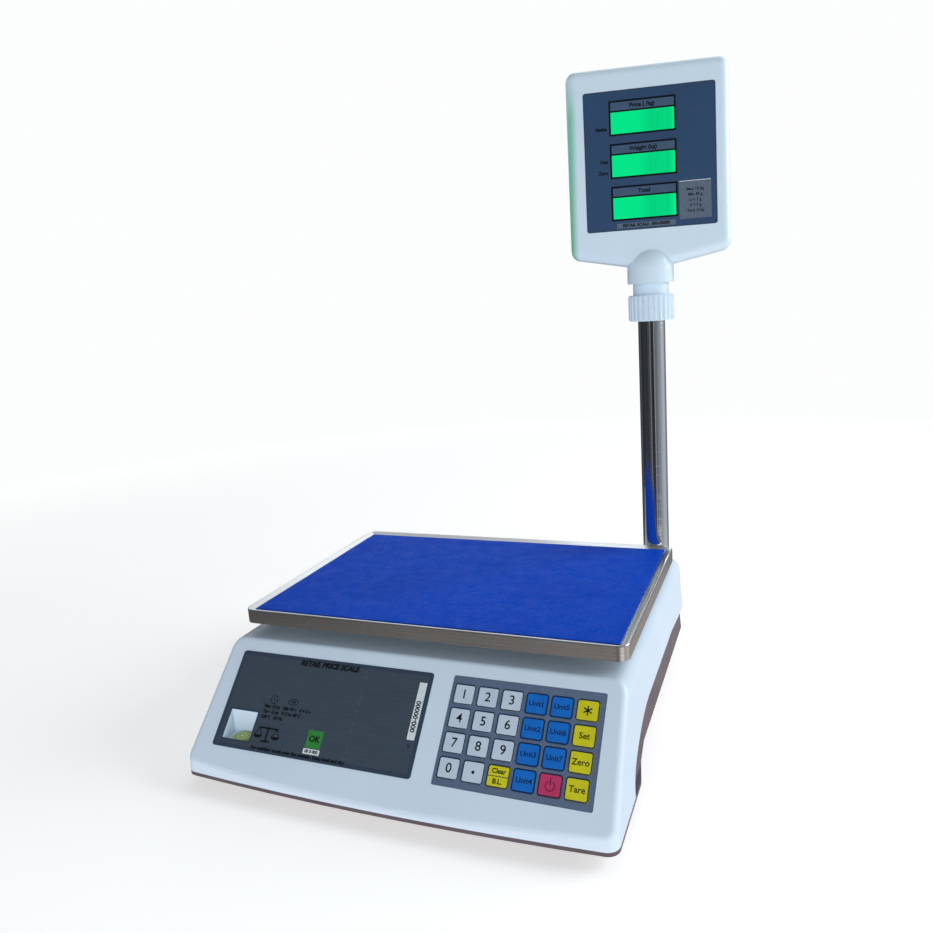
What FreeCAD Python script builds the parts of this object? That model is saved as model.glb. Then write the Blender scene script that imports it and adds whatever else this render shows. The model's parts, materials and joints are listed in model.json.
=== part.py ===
"""Retail price scale: weighing base with a stainless pan, a keypad and a display head on a pole.

Millimetres and degrees. Sizes live in the spreadsheet Dims, whose x, y, z places are measured in the base
frame: x = 0 in the middle of the pan, +y to the back, z = 0 on the table. The row frame is the base frame
moved by origin_x and origin_y, so that z = 0 stays on the table and the origin lies under the middle of the
whole object's box.
"""

import FreeCAD
import Part
import Sketcher
import math
import os
from FreeCAD import Vector

DIMENSIONS = [
    # place of the row frame's origin in the base frame
    ("origin_x", 21.2),
    ("origin_y", 16.05),
    # how far a cutting tool reaches past the face that it cuts
    ("past", 1),
    # moulded base: its outline at the lower edge of the upper housing
    ("base_x", -1.1),
    ("base_half_width", 172.8),
    ("base_front_y", -176.7),
    ("base_rear_y", 181.4),
    ("front_bow_radius", 2568),
    ("rear_corner_radius", 18),
    ("front_corner_radius", 9),
    ("draft", 3.4),
    ("wall", 2.8),
    ("shell_gap", 0.4),
    ("shell_bottom", 13),
    ("deck_z", 96.4),
    ("edge_round", 5),
    ("deck_round", 11),
    ("boss_start", 1),
    ("column_ring", 60),
    ("column_ring_corner", 12),
    ("column_ring_rise", 3),
    ("column_way", 48),
    ("column_way_corner", 8),
    # side arch: the lower edge of the upper housing rises behind the front panel
    ("arch_z", 52.5),
    ("arch_front_y", -109),
    ("arch_back_y", -30),
    ("arch_small_radius", 24),
    ("arch_rear_y", 90),
    ("arch_rear_z", 43),
    ("arch_margin", 20),
    # sloping front panel: a point on it and its slope
    ("panel_y", -106.14),
    ("panel_z", 88.46),
    ("panel_angle", 45.4),
    # lower tray and what stands on its floor
    ("tray_wall", 2.4),
    ("tray_floor", 2.5),
    ("tray_bottom", 10),
    ("tray_rim", 60),
    ("tray_front_rim", 25),
    ("tray_edge_round", 4.5),
    ("bevel_top_z", 24),
    ("bevel_run", 7),
    ("bevel_low_y", -85),
    ("bevel_high_y", -52),
    ("bevel_lead", 2.5),
    ("front_rim_end_y", -111),
    ("lip_inset", 0.1),
    ("lip_gap", 0.1),
    ("lip_end_y", -87),
    ("lip_back_y", -64),
    ("lip_turn", 10.3),
    ("post_foot_z", 11),
    ("cell_block_width", 36),
    ("cell_block_depth", 34),
    ("stop_boss_height", 7),
    ("foot_boss_radius", 8),
    ("foot_boss_height", 17),
    ("screw_boss_radius", 6.5),
    ("screw_boss_height", 6.8),
    ("board_post_radius", 3),
    ("screw_radius", 1.9),
    ("screw_hole", 2.1),
    ("screw_head_radius", 3.4),
    ("screw_head_height", 2.6),
    ("screw_length", 21),
    ("hole_play", 0.1),
    ("screw_slot_width", 1),
    ("screw_slot_length", 5),
    ("screw_slot_depth", 1),
    ("head_room", 0.6),
    ("screw_seat_z", 14),
    ("boss_radius", 4.5),
    ("boss_foot_z", 18),
    ("foot_radius", 13),
    ("foot_pad_height", 7),
    ("foot_sole_rim", 4),
    ("foot_wheel_radius", 11),
    ("foot_wheel_height", 2.6),
    ("foot_stem_radius", 4),
    ("foot_stem_top_z", 27),
    ("foot_hole", 4.1),
    # pan and what carries it
    ("pan_y", 26.7),
    ("pan_width", 330),
    ("pan_depth", 230),
    ("pan_skirt", 12),
    ("pan_sheet", 1),
    ("pan_flat_z", 115),
    ("pan_rim_rise", 2),
    ("pan_rim_width", 6.8),
    ("pan_ridge", 1.6),
    ("pan_corner", 9),
    ("film_thick", 0.2),
    ("film_corner", 0.6),
    ("bumper_radius", 8),
    ("bumper_height", 5),
    ("arm_reach_x", 118),
    ("arm_reach_y", 78),
    ("arm_width", 22),
    ("arm_thick", 7),
    ("hub_width", 90),
    ("hub_depth", 120),
    ("hub_corner", 12),
    ("hub_shift", 5),
    ("bumper_stem_radius", 3),
    ("bumper_seat", 2),
    ("column_side", 30),
    ("cell_length", 130),
    ("cell_width", 30),
    ("cell_height", 22),
    ("cell_bottom", 24),
    ("cell_end", 50),
    ("cell_bore", 7),
    ("cell_bore_spread", 12),
    ("cell_slot", 4),
    ("bolt_radius", 3),
    ("bolt_hole", 3.1),
    ("bolt_head_radius", 5),
    ("bolt_head_height", 3.4),
    ("bolt_bite", 6),
    ("low_bolt_length", 23.5),
    ("stop_gap", 0.5),
    ("stop_start", 1.5),
    ("bolt_spread", 8),
    # front panel fittings: x across, down = distance down the slope from the panel point
    ("label_x", -66.25),
    ("label_down", 38.95),
    ("label_width", 174.7),
    ("label_height", 77.9),
    ("label_thick", 0.3),
    ("label_corner", 2.5),
    ("level_x", -133.7),
    ("level_down", 59.9),
    ("level_width", 25.4),
    ("level_height", 22.8),
    ("level_wall", 2),
    ("level_sink", 3.5),
    ("level_corner", 0.8),
    ("vial_x", -133),
    ("vial_radius", 7.3),
    ("vial_tall", 2.6),
    ("vial_lip", 0.1),
    ("vial_round", 0.9),
    ("keypad_x", 95.45),
    ("keypad_down", 38.8),
    ("keypad_width", 116.3),
    ("keypad_height", 79.2),
    ("keypad_recess", 1),
    ("keypad_corner", 1.5),
    ("keypad_window_corner", 3),
    ("overlay_gap", 0.4),
    ("keypad_window_width", 113.4),
    ("keypad_window_height", 72.4),
    ("overlay_thick", 0.6),
    ("key_x", 48.2),
    ("key_down", 12.8),
    ("key_pitch_x", 18.6),
    ("key_pitch_down", 17.65),
    ("key_width", 16.2),
    ("key_height", 15),
    ("key_corner", 2),
    ("key_top", -0.1),
    ("key_flange_margin", 0.8),
    ("key_flange_thick", 0.5),
    ("key_flange_top", -1.15),
    ("key_gap", 0.3),
    ("dome_radius", 4),
    ("dome_height", 0.7),
    ("board_thick", 1.6),
    ("board_corner", 2),
    ("keypad_board_side", 2),
    ("keypad_board_end", 6),
    ("solder", 0.2),
    # electrics on the tray's floor
    ("main_board_x", -85),
    ("main_board_y", -85),
    ("main_board_z", 22),
    ("main_board_width", 120),
    ("main_board_depth", 75),
    ("board_post_inset", 6),
    ("board_hole", 1.6),
    ("battery_x", -89),
    ("battery_y", 98),
    ("battery_width", 70),
    ("battery_length", 100),
    ("battery_tall", 47),
    ("battery_corner", 2.5),
    ("battery_tab_x", 22),
    ("battery_tab_y", -42),
    ("strap_gap", 0.5),
    ("strap_foot", 10),
    ("strap_width", 12),
    ("strap_thick", 1.5),
    ("transformer_x", 72),
    ("transformer_y", 100),
    ("rear_plate_x", -60),
    ("rear_plate_y", 174),
    ("rear_plate_width", 110),
    ("rear_plate_low_z", 14),
    ("rear_plate_high_z", 43.5),
    ("rear_fitting_z", 29),
    ("rear_plate_rim", 3),
    ("rear_plate_thick", 4),
    ("inlet_x", -35),
    ("switch_x", -85),
    ("inlet_width", 27),
    ("inlet_height", 19.8),
    ("inlet_depth", 17),
    ("inlet_wall", 2.1),
    ("inlet_floor", 3),
    ("inlet_flange", 2),
    ("flange_rim", 2),
    ("fitting_gap", 0.4),
    ("pin_width", 4),
    ("pin_length", 10),
    ("pin_thick", 2),
    ("switch_width", 19),
    ("switch_height", 12.8),
    ("switch_depth", 15),
    ("switch_flange", 1.6),
    ("flange_overlap", 1.2),
    ("well_width", 16.6),
    ("well_height", 9),
    ("well_depth", 6),
    ("rocker_tilt", 8),
    ("rocker_pin_radius", 1),
    ("rocker_pin_length", 10.6),
    ("rocker_height", 8.4),
    # pole and its fittings
    ("pole_x", 146.4),
    ("pole_y", 154.8),
    ("pole_radius", 12.3),
    ("pole_wall", 1.2),
    ("pole_foot_z", 30),
    ("pole_top_z", 380),
    ("socket_radius", 16.7),
    ("socket_top_z", 84),
    ("socket_flange", 2.5),
    ("socket_flange_thick", 4),
    ("socket_floor", 1.5),
    ("socket_throat", 9),
    ("socket_slot_length", 24),
    ("socket_slot_width", 9),
    ("socket_slot_height", 14),
    ("nut_radius", 19.5),
    ("nut_bottom_z", 331.9),
    ("nut_height", 23.2),
    ("nut_lip", 2.6),
    ("nut_ribs", 26),
    ("rib_radius", 1.3),
    ("rib_sink", 0.2),
    ("rib_end", 0.8),
    ("sleeve_radius", 16),
    ("sleeve_bottom_z", 335),
    ("collar_radius", 20.8),
    ("collar_bottom_z", 365.5),
    ("crown_z", 377.2),
    ("neck_way_radius", 5),
    ("neck_play", 0.1),
    ("run_gap", 0.3),
    ("fit_gap", 0.05),
    # display head, turned about the pole and leaning back
    ("head_turn", 12.6),
    ("head_lean", 5.7),
    ("head_z", 473.7),
    ("head_forward", 3.2),
    ("head_half_width", 70.8),
    ("head_top", 81.8),
    ("head_shoulder", 81.6),
    ("head_bottom", 91.6),
    ("head_neck_half", 20),
    ("head_corner", 9),
    ("head_front_depth", 16),
    ("head_rear_depth", 22),
    ("head_round", 8),
    ("head_wall", 2.5),
    ("head_rear_draft", 10),
    ("head_post_x", 57),
    ("head_post_high", 68),
    ("head_post_low", 68),
    ("head_screw_seat", 28),
    ("head_post_radius", 4),
    ("head_rear_post_radius", 5.5),
    ("head_pilot", 1.5),
    ("head_pilot_depth", 9),
    ("head_screw_hole", 1.7),
    ("head_well", 3.7),
    ("head_screw_radius", 1.4),
    ("head_screw_length", 17.5),
    ("head_cap_radius", 3.2),
    ("head_cap_height", 2.4),
    ("cross_length", 4),
    ("cross_width", 0.8),
    ("cross_depth", 1),
    ("vent_length", 60),
    ("vent_width", 2.2),
    ("vent_low_y", 20),
    ("vent_pitch", 7),
    ("display_label_x", 1.4),
    ("display_label_width", 114.1),
    ("display_label_height", 121.2),
    ("display_label_thick", 0.4),
    ("display_label_corner", 2.2),
    ("display_label_gap", 0.3),
    ("window_x", -4.3),
    ("window_top_y", 32.7),
    ("window_pitch", 36.9),
    ("window_width", 55.2),
    ("window_height", 18.8),
    ("lcd_margin", 1.2),
    ("lcd_thick", 4),
    ("lcd_gap", 0.4),
    ("lcd_sink", 0.1),
    ("lcd_corner", 0.6),
    ("window_corner", 0.5),
    ("display_board_width", 104),
    ("display_board_height", 126),
    # lead from the main board up the pole to the display board
    ("lead_radius", 2.5),
    ("lead_start_z", 28),
    ("lead_low_z", 18),
    ("lead_top_z", 410.2),
]

doc = FreeCAD.newDocument("RetailScale")
sheet = doc.addObject("Spreadsheet::Sheet", "Dims")
for row, (alias, number) in enumerate(DIMENSIONS, start=1):
    sheet.set("A%d" % row, alias)
    sheet.set("B%d" % row, str(number))
    sheet.setAlias("B%d" % row, alias)
doc.recompute()

LEVEL = "rotation(vector(0; 0; 1); 0)"
HERE = "placement(vector(0; 0; 0); %s)" % LEVEL
ROW = "placement(vector(-Dims.origin_x; -Dims.origin_y; 0); %s)" % LEVEL
PANEL = "placement(vector(0; Dims.panel_y; Dims.panel_z); rotation(vector(1; 0; 0); Dims.panel_angle))"
HEAD = (
    "placement(vector(Dims.pole_x + Dims.head_forward * sin(Dims.head_turn);"
    " Dims.pole_y - Dims.head_forward * cos(Dims.head_turn); Dims.head_z);"
    " rotation(vector(0; 0; 1); Dims.head_turn) * rotation(vector(1; 0; 0); 90 - Dims.head_lean))"
)
POLE = "placement(vector(Dims.pole_x; Dims.pole_y; 0); rotation(vector(0; 0; 1); Dims.head_turn))"

HUGE = "400"
SLACK = 0.1

sub_parts = []


def dim(alias):
    return float(sheet.get(alias))


# ---------------------------------------------------------------------------------------------------------
# helpers: each returns an object of the document whose sizes are expressions of the sheet
# ---------------------------------------------------------------------------------------------------------


def place(thing, x="0", y="0", z="0", frame=HERE, turn=LEVEL):
    """Put a thing at x, y, z of a frame: the base frame, the panel's or the head's."""
    thing.setExpression("Placement", "%s * placement(vector(%s; %s; %s); %s)" % (frame, x, y, z, turn))
    return thing


def finish(name, thing):
    """Make a thing built in the base frame a sub-part of the row frame, under its own name."""
    thing.Label = name
    current = dict(thing.ExpressionEngine).get("Placement", HERE)
    thing.setExpression("Placement", "%s * %s" % (ROW, current))
    sub_parts.append(thing)
    return thing


def box(width, depth, height, x="0", y="0", z="0", frame=HERE, turn=LEVEL):
    """A box centred on x and y, standing on z."""
    block = doc.addObject("Part::Box", "Block")
    block.setExpression("Length", str(width))
    block.setExpression("Width", str(depth))
    block.setExpression("Height", str(height))
    local = "placement(vector(-(%s) / 2; -(%s) / 2; 0); %s)" % (width, depth, LEVEL)
    where = "placement(vector(%s; %s; %s); %s)" % (x, y, z, turn)
    block.setExpression("Placement", "%s * %s * %s" % (frame, where, local))
    return block


ALONG_X = "rotation(vector(0; 1; 0); 90)"
HALF_TURN = "rotation(vector(0; 1; 0); 180)"


def cylinder(radius, height, x="0", y="0", z="0", frame=HERE, turn=LEVEL):
    rod = doc.addObject("Part::Cylinder", "Rod")
    rod.setExpression("Radius", str(radius))
    rod.setExpression("Height", str(height))
    return place(rod, x, y, z, frame, turn)


def fuse(things):
    joined = doc.addObject("Part::MultiFuse", "Joined")
    joined.Shapes = things
    joined.Refine = True
    return joined


def group(things):
    """Separate solids that share one sub-part."""
    several = doc.addObject("Part::Compound", "Several")
    several.Links = things
    return several


def cut(base, tools):
    tool = tools[0] if len(tools) == 1 else fuse(tools)
    result = doc.addObject("Part::Cut", "Remaining")
    result.Base = base
    result.Tool = tool
    return result


def common(first, second):
    result = doc.addObject("Part::Common", "Shared")
    result.Base = first
    result.Tool = second
    return result


def origin_plane(body, role):
    return next(feature for feature in body.Origin.OriginFeatures if feature.Role == role)


def sketch_on(body, role, offset="0"):
    sketch = body.newObject("Sketcher::SketchObject", "Outline")
    sketch.AttachmentSupport = [(origin_plane(body, role), "")]
    sketch.MapMode = "FlatFace"
    sketch.setExpression("AttachmentOffset.Base.z", str(offset))
    return sketch


def bind(sketch, constraint, expression):
    """Add a dimensional constraint and tie it to the sheet."""
    index = sketch.addConstraint(constraint)
    sketch.setExpression("Constraints[%d]" % index, "(%s) * 1 mm" % expression)


def number(expression):
    """A length expression's present value, used only to start a sketch near its solution."""
    return float(sheet.evalExpression(str(expression)))


def rounded_rectangle(sketch, width, depth, radius):
    """A rectangle about the sketch's origin with four equal corner arcs."""
    half_x = number(width) / 2
    half_y = number(depth) / 2
    corner = number(radius)
    centres = [
        (half_x - corner, -half_y + corner, -90),
        (half_x - corner, half_y - corner, 0),
        (-half_x + corner, half_y - corner, 90),
        (-half_x + corner, -half_y + corner, 180),
    ]
    arcs = []
    for x, y, start in centres:
        circle = Part.Circle(Vector(x, y, 0), Vector(0, 0, 1), corner)
        arc = Part.ArcOfCircle(circle, math.radians(start), math.radians(start + 90))
        arcs.append(sketch.addGeometry(arc))
    lines = []
    for i in range(4):
        start = sketch.getPoint(arcs[i], 2)
        end = sketch.getPoint(arcs[(i + 1) % 4], 1)
        lines.append(sketch.addGeometry(Part.LineSegment(start, end)))
    for i in range(4):
        sketch.addConstraint(Sketcher.Constraint("Tangent", arcs[i], 2, lines[i], 1))
        sketch.addConstraint(Sketcher.Constraint("Tangent", lines[i], 2, arcs[(i + 1) % 4], 1))
    for i in (1, 2, 3):
        sketch.addConstraint(Sketcher.Constraint("Equal", arcs[0], arcs[i]))
    sketch.addConstraint(Sketcher.Constraint("Vertical", lines[0]))
    sketch.addConstraint(Sketcher.Constraint("Horizontal", lines[1]))
    sketch.addConstraint(Sketcher.Constraint("Symmetric", arcs[0], 3, arcs[2], 3, -1, 1))
    bind(sketch, Sketcher.Constraint("Radius", arcs[0], corner), radius)
    across = Sketcher.Constraint("DistanceX", arcs[3], 3, arcs[0], 3, 2 * (half_x - corner))
    bind(sketch, across, "(%s) - 2 * (%s)" % (width, radius))
    along = Sketcher.Constraint("DistanceY", arcs[0], 3, arcs[1], 3, 2 * (half_y - corner))
    bind(sketch, along, "(%s) - 2 * (%s)" % (depth, radius))


def pad(body, sketch, length, draft=None):
    feature = body.newObject("PartDesign::Pad", "Pad")
    feature.Profile = sketch
    feature.setExpression("Length", str(length))
    if draft:
        feature.setExpression("TaperAngle", draft)
    body.Tip = feature
    return feature


def plate(width, depth, thick, radius, x="0", y="0", z="0", frame=HERE, turn=LEVEL):
    """A flat plate with rounded corners, centred on x and y, its lower face at z."""
    body = doc.addObject("PartDesign::Body", "Plate")
    sketch = sketch_on(body, "XY_Plane")
    rounded_rectangle(sketch, str(width), str(depth), str(radius))
    pad(body, sketch, thick)
    return place(body, x, y, z, frame, turn)


def wedge(low_z, high_z, low_sides, high_sides):
    """A block whose sides (x from, x to, y from, y to) change evenly from its lower to its upper face."""
    block = doc.addObject("Part::Wedge", "Wedge")
    sizes = {"Ymin": low_z, "Ymax": high_z}
    sizes.update(zip(("Xmin", "Xmax"), low_sides[:2]))
    sizes.update(zip(("Zmax", "Zmin"), ("-(%s)" % side for side in low_sides[2:])))
    sizes.update(zip(("X2min", "X2max"), high_sides[:2]))
    sizes.update(zip(("Z2max", "Z2min"), ("-(%s)" % side for side in high_sides[2:])))
    for name, size in sizes.items():
        block.setExpression(name, size)
    return place(block, turn="rotation(vector(1; 0; 0); 90)")


def fillet(thing, radius, wanted):
    """Round the edges of a thing that the test wanted(edge) picks."""
    doc.recompute()
    rounded = doc.addObject("Part::Fillet", "Rounded")
    rounded.Base = thing
    chosen = [i + 1 for i, edge in enumerate(thing.Shape.Edges) if wanted(edge)]
    rounded.Edges = [(i, dim(radius), dim(radius)) for i in chosen]
    return rounded


# ---------------------------------------------------------------------------------------------------------
# base: upper housing and lower tray
# ---------------------------------------------------------------------------------------------------------


def base_outline(sketch, inset):
    """The base seen from above: a bowed front, straight sides and rounded corners, inset all round."""
    half = number("Dims.base_half_width - (%s)" % inset)
    front = number("Dims.base_front_y + (%s)" % inset)
    rear = number("Dims.base_rear_y - (%s)" % inset)
    bow = number("Dims.front_bow_radius - (%s)" % inset)
    rear_corner = number("Dims.rear_corner_radius - (%s)" % inset)
    front_corner = number("Dims.front_corner_radius - (%s)" % inset)
    corner_x = half - front_corner
    bow_centre = front + bow
    corner_y = bow_centre - math.sqrt((bow - front_corner) ** 2 - corner_x**2)
    lean = math.asin(corner_x / (bow - front_corner))
    right = Part.LineSegment(Vector(half, corner_y, 0), Vector(half, rear - rear_corner, 0))
    back = Part.LineSegment(Vector(half - rear_corner, rear, 0), Vector(-half + rear_corner, rear, 0))
    left = Part.LineSegment(Vector(-half, rear - rear_corner, 0), Vector(-half, corner_y, 0))

    def arc(x, y, radius, start, end):
        circle = Part.Circle(Vector(x, y, 0), Vector(0, 0, 1), radius)
        return Part.ArcOfCircle(circle, start, end)

    quarter = math.pi / 2
    loop = [
        right,
        arc(half - rear_corner, rear - rear_corner, rear_corner, 0, quarter),
        back,
        arc(-half + rear_corner, rear - rear_corner, rear_corner, quarter, 2 * quarter),
        left,
        arc(-corner_x, corner_y, front_corner, 2 * quarter, 3 * quarter - lean),
        arc(0, bow_centre, bow, 3 * quarter - lean, 3 * quarter + lean),
        arc(corner_x, corner_y, front_corner, 3 * quarter + lean, 4 * quarter),
    ]
    for curve in loop:
        sketch.addGeometry(curve)
    for i in range(8):
        sketch.addConstraint(Sketcher.Constraint("Tangent", i, 2, (i + 1) % 8, 1))
    sketch.addConstraint(Sketcher.Constraint("Vertical", 0))
    sketch.addConstraint(Sketcher.Constraint("Horizontal", 2))
    sketch.addConstraint(Sketcher.Constraint("Equal", 5, 7))
    sketch.addConstraint(Sketcher.Constraint("Symmetric", 1, 3, 3, 3, -2))
    sketch.addConstraint(Sketcher.Constraint("Symmetric", 5, 3, 7, 3, -2))
    bind(sketch, Sketcher.Constraint("Radius", 1, rear_corner), "Dims.rear_corner_radius - (%s)" % inset)
    bind(sketch, Sketcher.Constraint("Radius", 7, front_corner), "Dims.front_corner_radius - (%s)" % inset)
    bind(sketch, Sketcher.Constraint("Radius", 6, bow), "Dims.front_bow_radius - (%s)" % inset)
    bind(sketch, Sketcher.Constraint("DistanceX", -1, 1, 0, 1, half), "Dims.base_half_width - (%s)" % inset)
    bind(sketch, Sketcher.Constraint("DistanceY", -1, 1, 2, 1, rear), "Dims.base_rear_y - (%s)" % inset)
    centre = "Dims.base_front_y + Dims.front_bow_radius"
    bind(sketch, Sketcher.Constraint("DistanceY", -1, 1, 6, 3, bow_centre), centre)


def upright_block(inset, bottom, top):
    """The base's outline raised with its draft, inset all round."""
    body = doc.addObject("PartDesign::Body", "BaseBlock")
    sketch = sketch_on(body, "XY_Plane", bottom)
    lower = "(%s) + (%s - Dims.shell_bottom) * tan(Dims.draft)" % (inset, bottom)
    base_outline(sketch, lower)
    pad(body, sketch, "(%s) - (%s)" % (top, bottom), "-Dims.draft")
    return place(body, "Dims.base_x")


def in_front(inset):
    """All that lies in front of the sloping front."""
    return box(HUGE, HUGE, HUGE, z="-(%s)" % inset, frame=PANEL)


def base_block(inset, bottom, top):
    """The upright block cut off by the sloping front."""
    return cut(upright_block(inset, bottom, top), [in_front(inset)])


def side_arch():
    """What is cut from the upper housing's lower edge behind the front panel, seen from the side."""
    body = doc.addObject("PartDesign::Body", "SideArch")
    sketch = sketch_on(body, "YZ_Plane")
    front, back = dim("arch_front_y"), dim("arch_back_y")
    top, low, small = dim("arch_z"), dim("shell_bottom"), dim("arch_small_radius")
    run, rise = back - front - small, top - low
    large = (run**2 + rise**2 - small**2) / (2 * (rise - small))
    turn = math.atan2(large - rise, run)
    small_circle = Part.Circle(Vector(front + small, low, 0), Vector(0, 0, 1), small)
    large_circle = Part.Circle(Vector(back, top - large, 0), Vector(0, 0, 1), large)
    small_arc = Part.ArcOfCircle(small_circle, math.pi - turn, math.pi)
    large_arc = Part.ArcOfCircle(large_circle, math.pi / 2, math.pi - turn)
    rear_y, rear_z = dim("arch_rear_y"), dim("arch_rear_z")
    end_y, floor = dim("base_rear_y") + dim("arch_margin"), -dim("arch_margin")
    points = [
        Vector(back, top, 0),
        Vector(rear_y, top, 0),
        Vector(end_y, rear_z, 0),
        Vector(end_y, floor, 0),
        Vector(front, floor, 0),
        Vector(front, low, 0),
    ]
    sketch.addGeometry(small_arc)
    sketch.addGeometry(large_arc)
    for start, end in zip(points, points[1:]):
        sketch.addGeometry(Part.LineSegment(start, end))
    join = [(0, 1, 1, 2), (1, 1, 2, 1), (6, 2, 0, 2)]
    for one, end_one, other, end_other in join:
        sketch.addConstraint(Sketcher.Constraint("Tangent", one, end_one, other, end_other))
    for i in range(2, 6):
        sketch.addConstraint(Sketcher.Constraint("Coincident", i, 2, i + 1, 1))
    sketch.addConstraint(Sketcher.Constraint("Horizontal", 2))
    sketch.addConstraint(Sketcher.Constraint("Vertical", 4))
    sketch.addConstraint(Sketcher.Constraint("Horizontal", 5))
    sketch.addConstraint(Sketcher.Constraint("Vertical", 6))
    bind(sketch, Sketcher.Constraint("Radius", 0, small), "Dims.arch_small_radius")
    bind(sketch, Sketcher.Constraint("DistanceY", -1, 1, 2, 1, top), "Dims.arch_z")
    bind(sketch, Sketcher.Constraint("DistanceX", 2, 1, -1, 1, -back), "-Dims.arch_back_y")
    bind(sketch, Sketcher.Constraint("DistanceX", -1, 1, 2, 2, rear_y), "Dims.arch_rear_y")
    bind(sketch, Sketcher.Constraint("DistanceX", 6, 1, -1, 1, -front), "-Dims.arch_front_y")
    bind(sketch, Sketcher.Constraint("DistanceY", -1, 1, 6, 2, low), "Dims.shell_bottom")
    end = "Dims.base_rear_y + Dims.arch_margin"
    bind(sketch, Sketcher.Constraint("DistanceX", -1, 1, 3, 2, end_y), end)
    bind(sketch, Sketcher.Constraint("DistanceY", -1, 1, 3, 2, rear_z), "Dims.arch_rear_z")
    bind(sketch, Sketcher.Constraint("DistanceY", 5, 1, -1, 1, -floor), "Dims.arch_margin")
    feature = pad(body, sketch, HUGE)
    feature.Midplane = True
    return body


def rounded_block(inset, bottom, top):
    """The base block with its upper edges rounded, less far the further it is inset."""
    block = base_block(inset, bottom, top)
    doc.recompute()
    lowest, highest = number(bottom), number(top)
    deck_round = number("Dims.deck_round - (%s)" % inset)
    edge_round = number("Dims.edge_round - (%s)" % inset)
    rounded = doc.addObject("Part::Fillet", "Rounded")
    rounded.Base = block
    chosen = []
    for i, edge in enumerate(block.Shape.Edges, start=1):
        bounds = edge.BoundBox
        if bounds.ZMin > highest - SLACK and bounds.YMax > 0:
            chosen.append((i, deck_round, deck_round))
        elif bounds.ZMin > lowest + SLACK and edge.Curve.TypeId != "Part::GeomBezierCurve":
            chosen.append((i, edge_round, edge_round))
    rounded.Edges = chosen
    return rounded


def side_bevel(inset, side):
    """What the bevel along the tray's lower edge takes off one side; it runs out towards the front."""
    inner = "(%s - Dims.wall - Dims.shell_gap)" % inset
    lean = "(Dims.bevel_top_z - Dims.shell_bottom) * tan(Dims.draft)"
    high_x = "(Dims.base_half_width - (%s) - %s)" % (inset, lean)
    low_x = "(%s - Dims.bevel_run)" % high_x
    low_y = "Dims.bevel_low_y - Dims.bevel_lead * %s" % inner
    high_y = "Dims.bevel_high_y - Dims.bevel_lead * %s" % inner
    if side > 0:
        low = ("Dims.base_x + " + low_x, HUGE, low_y, HUGE)
        high = ("Dims.base_x + " + high_x, HUGE, high_y, HUGE)
    else:
        low = ("-" + HUGE, "Dims.base_x - " + low_x, low_y, HUGE)
        high = ("-" + HUGE, "Dims.base_x - " + high_x, high_y, HUGE)
    return wedge("Dims.tray_bottom - Dims.past", "Dims.bevel_top_z", low, high)


SCREW_SPOTS = [(-158, -130), (158, -130), (-153, 40), (153, 40), (-130, 165), (95, 165)]
FOOT_SPOTS = {
    "foot_front_left": (-138, -138),
    "foot_front_right": (138, -138),
    "foot_rear_left": (-138, 122),
    "foot_rear_right": (138, 122),
}
LEVEL_TOP_Y = "(Dims.panel_y - (Dims.level_down - Dims.level_height / 2) * cos(Dims.panel_angle))"
LEVEL_TOP_Z = "(Dims.panel_z - (Dims.level_down - Dims.level_height / 2) * sin(Dims.panel_angle))"
LEVEL_LOW_Y = "(Dims.panel_y - (Dims.level_down + Dims.level_height / 2) * cos(Dims.panel_angle))"
LEVEL_FLOOR_Z = (
    "(Dims.panel_z - (Dims.level_down + Dims.level_height / 2) * sin(Dims.panel_angle) - Dims.level_sink)"
)
COLUMN_Y = "(Dims.pan_y + Dims.cell_end)"
FIXED_Y = "(Dims.pan_y - Dims.cell_end)"
CELL_TOP = "(Dims.cell_bottom + Dims.cell_height)"
ARM_Z = "(Dims.pan_flat_z - Dims.pan_sheet - Dims.bumper_height - Dims.arm_thick)"
BOLT_SINK = "(Dims.arm_thick / 2)"


def level_niche(margin):
    """The notch with a flat floor that shows the level, grown by a margin for the walls round it."""
    width = "Dims.level_width + 2 * %s" % margin
    depth = "%s - %s + 2 * %s" % (LEVEL_TOP_Y, LEVEL_LOW_Y, margin)
    height = "%s - %s + 2 * %s" % (LEVEL_TOP_Z, LEVEL_FLOOR_Z, margin)
    middle = "(%s + %s) / 2" % (LEVEL_TOP_Y, LEVEL_LOW_Y)
    return box(width, depth, height, "Dims.level_x", middle, "%s - %s" % (LEVEL_FLOOR_Z, margin))


def keypad_plate(width, height, thick, corner, rise):
    """A plate parallel to the front panel, centred on the keypad, its lower face at rise."""
    return plate(width, height, thick, corner, "Dims.keypad_x", "-Dims.keypad_down", rise, PANEL)


def column_plate(side, corner, thick, low):
    """A square plate round the pan's column."""
    return plate(side, side, thick, corner, "0", COLUMN_Y, low)


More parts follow.
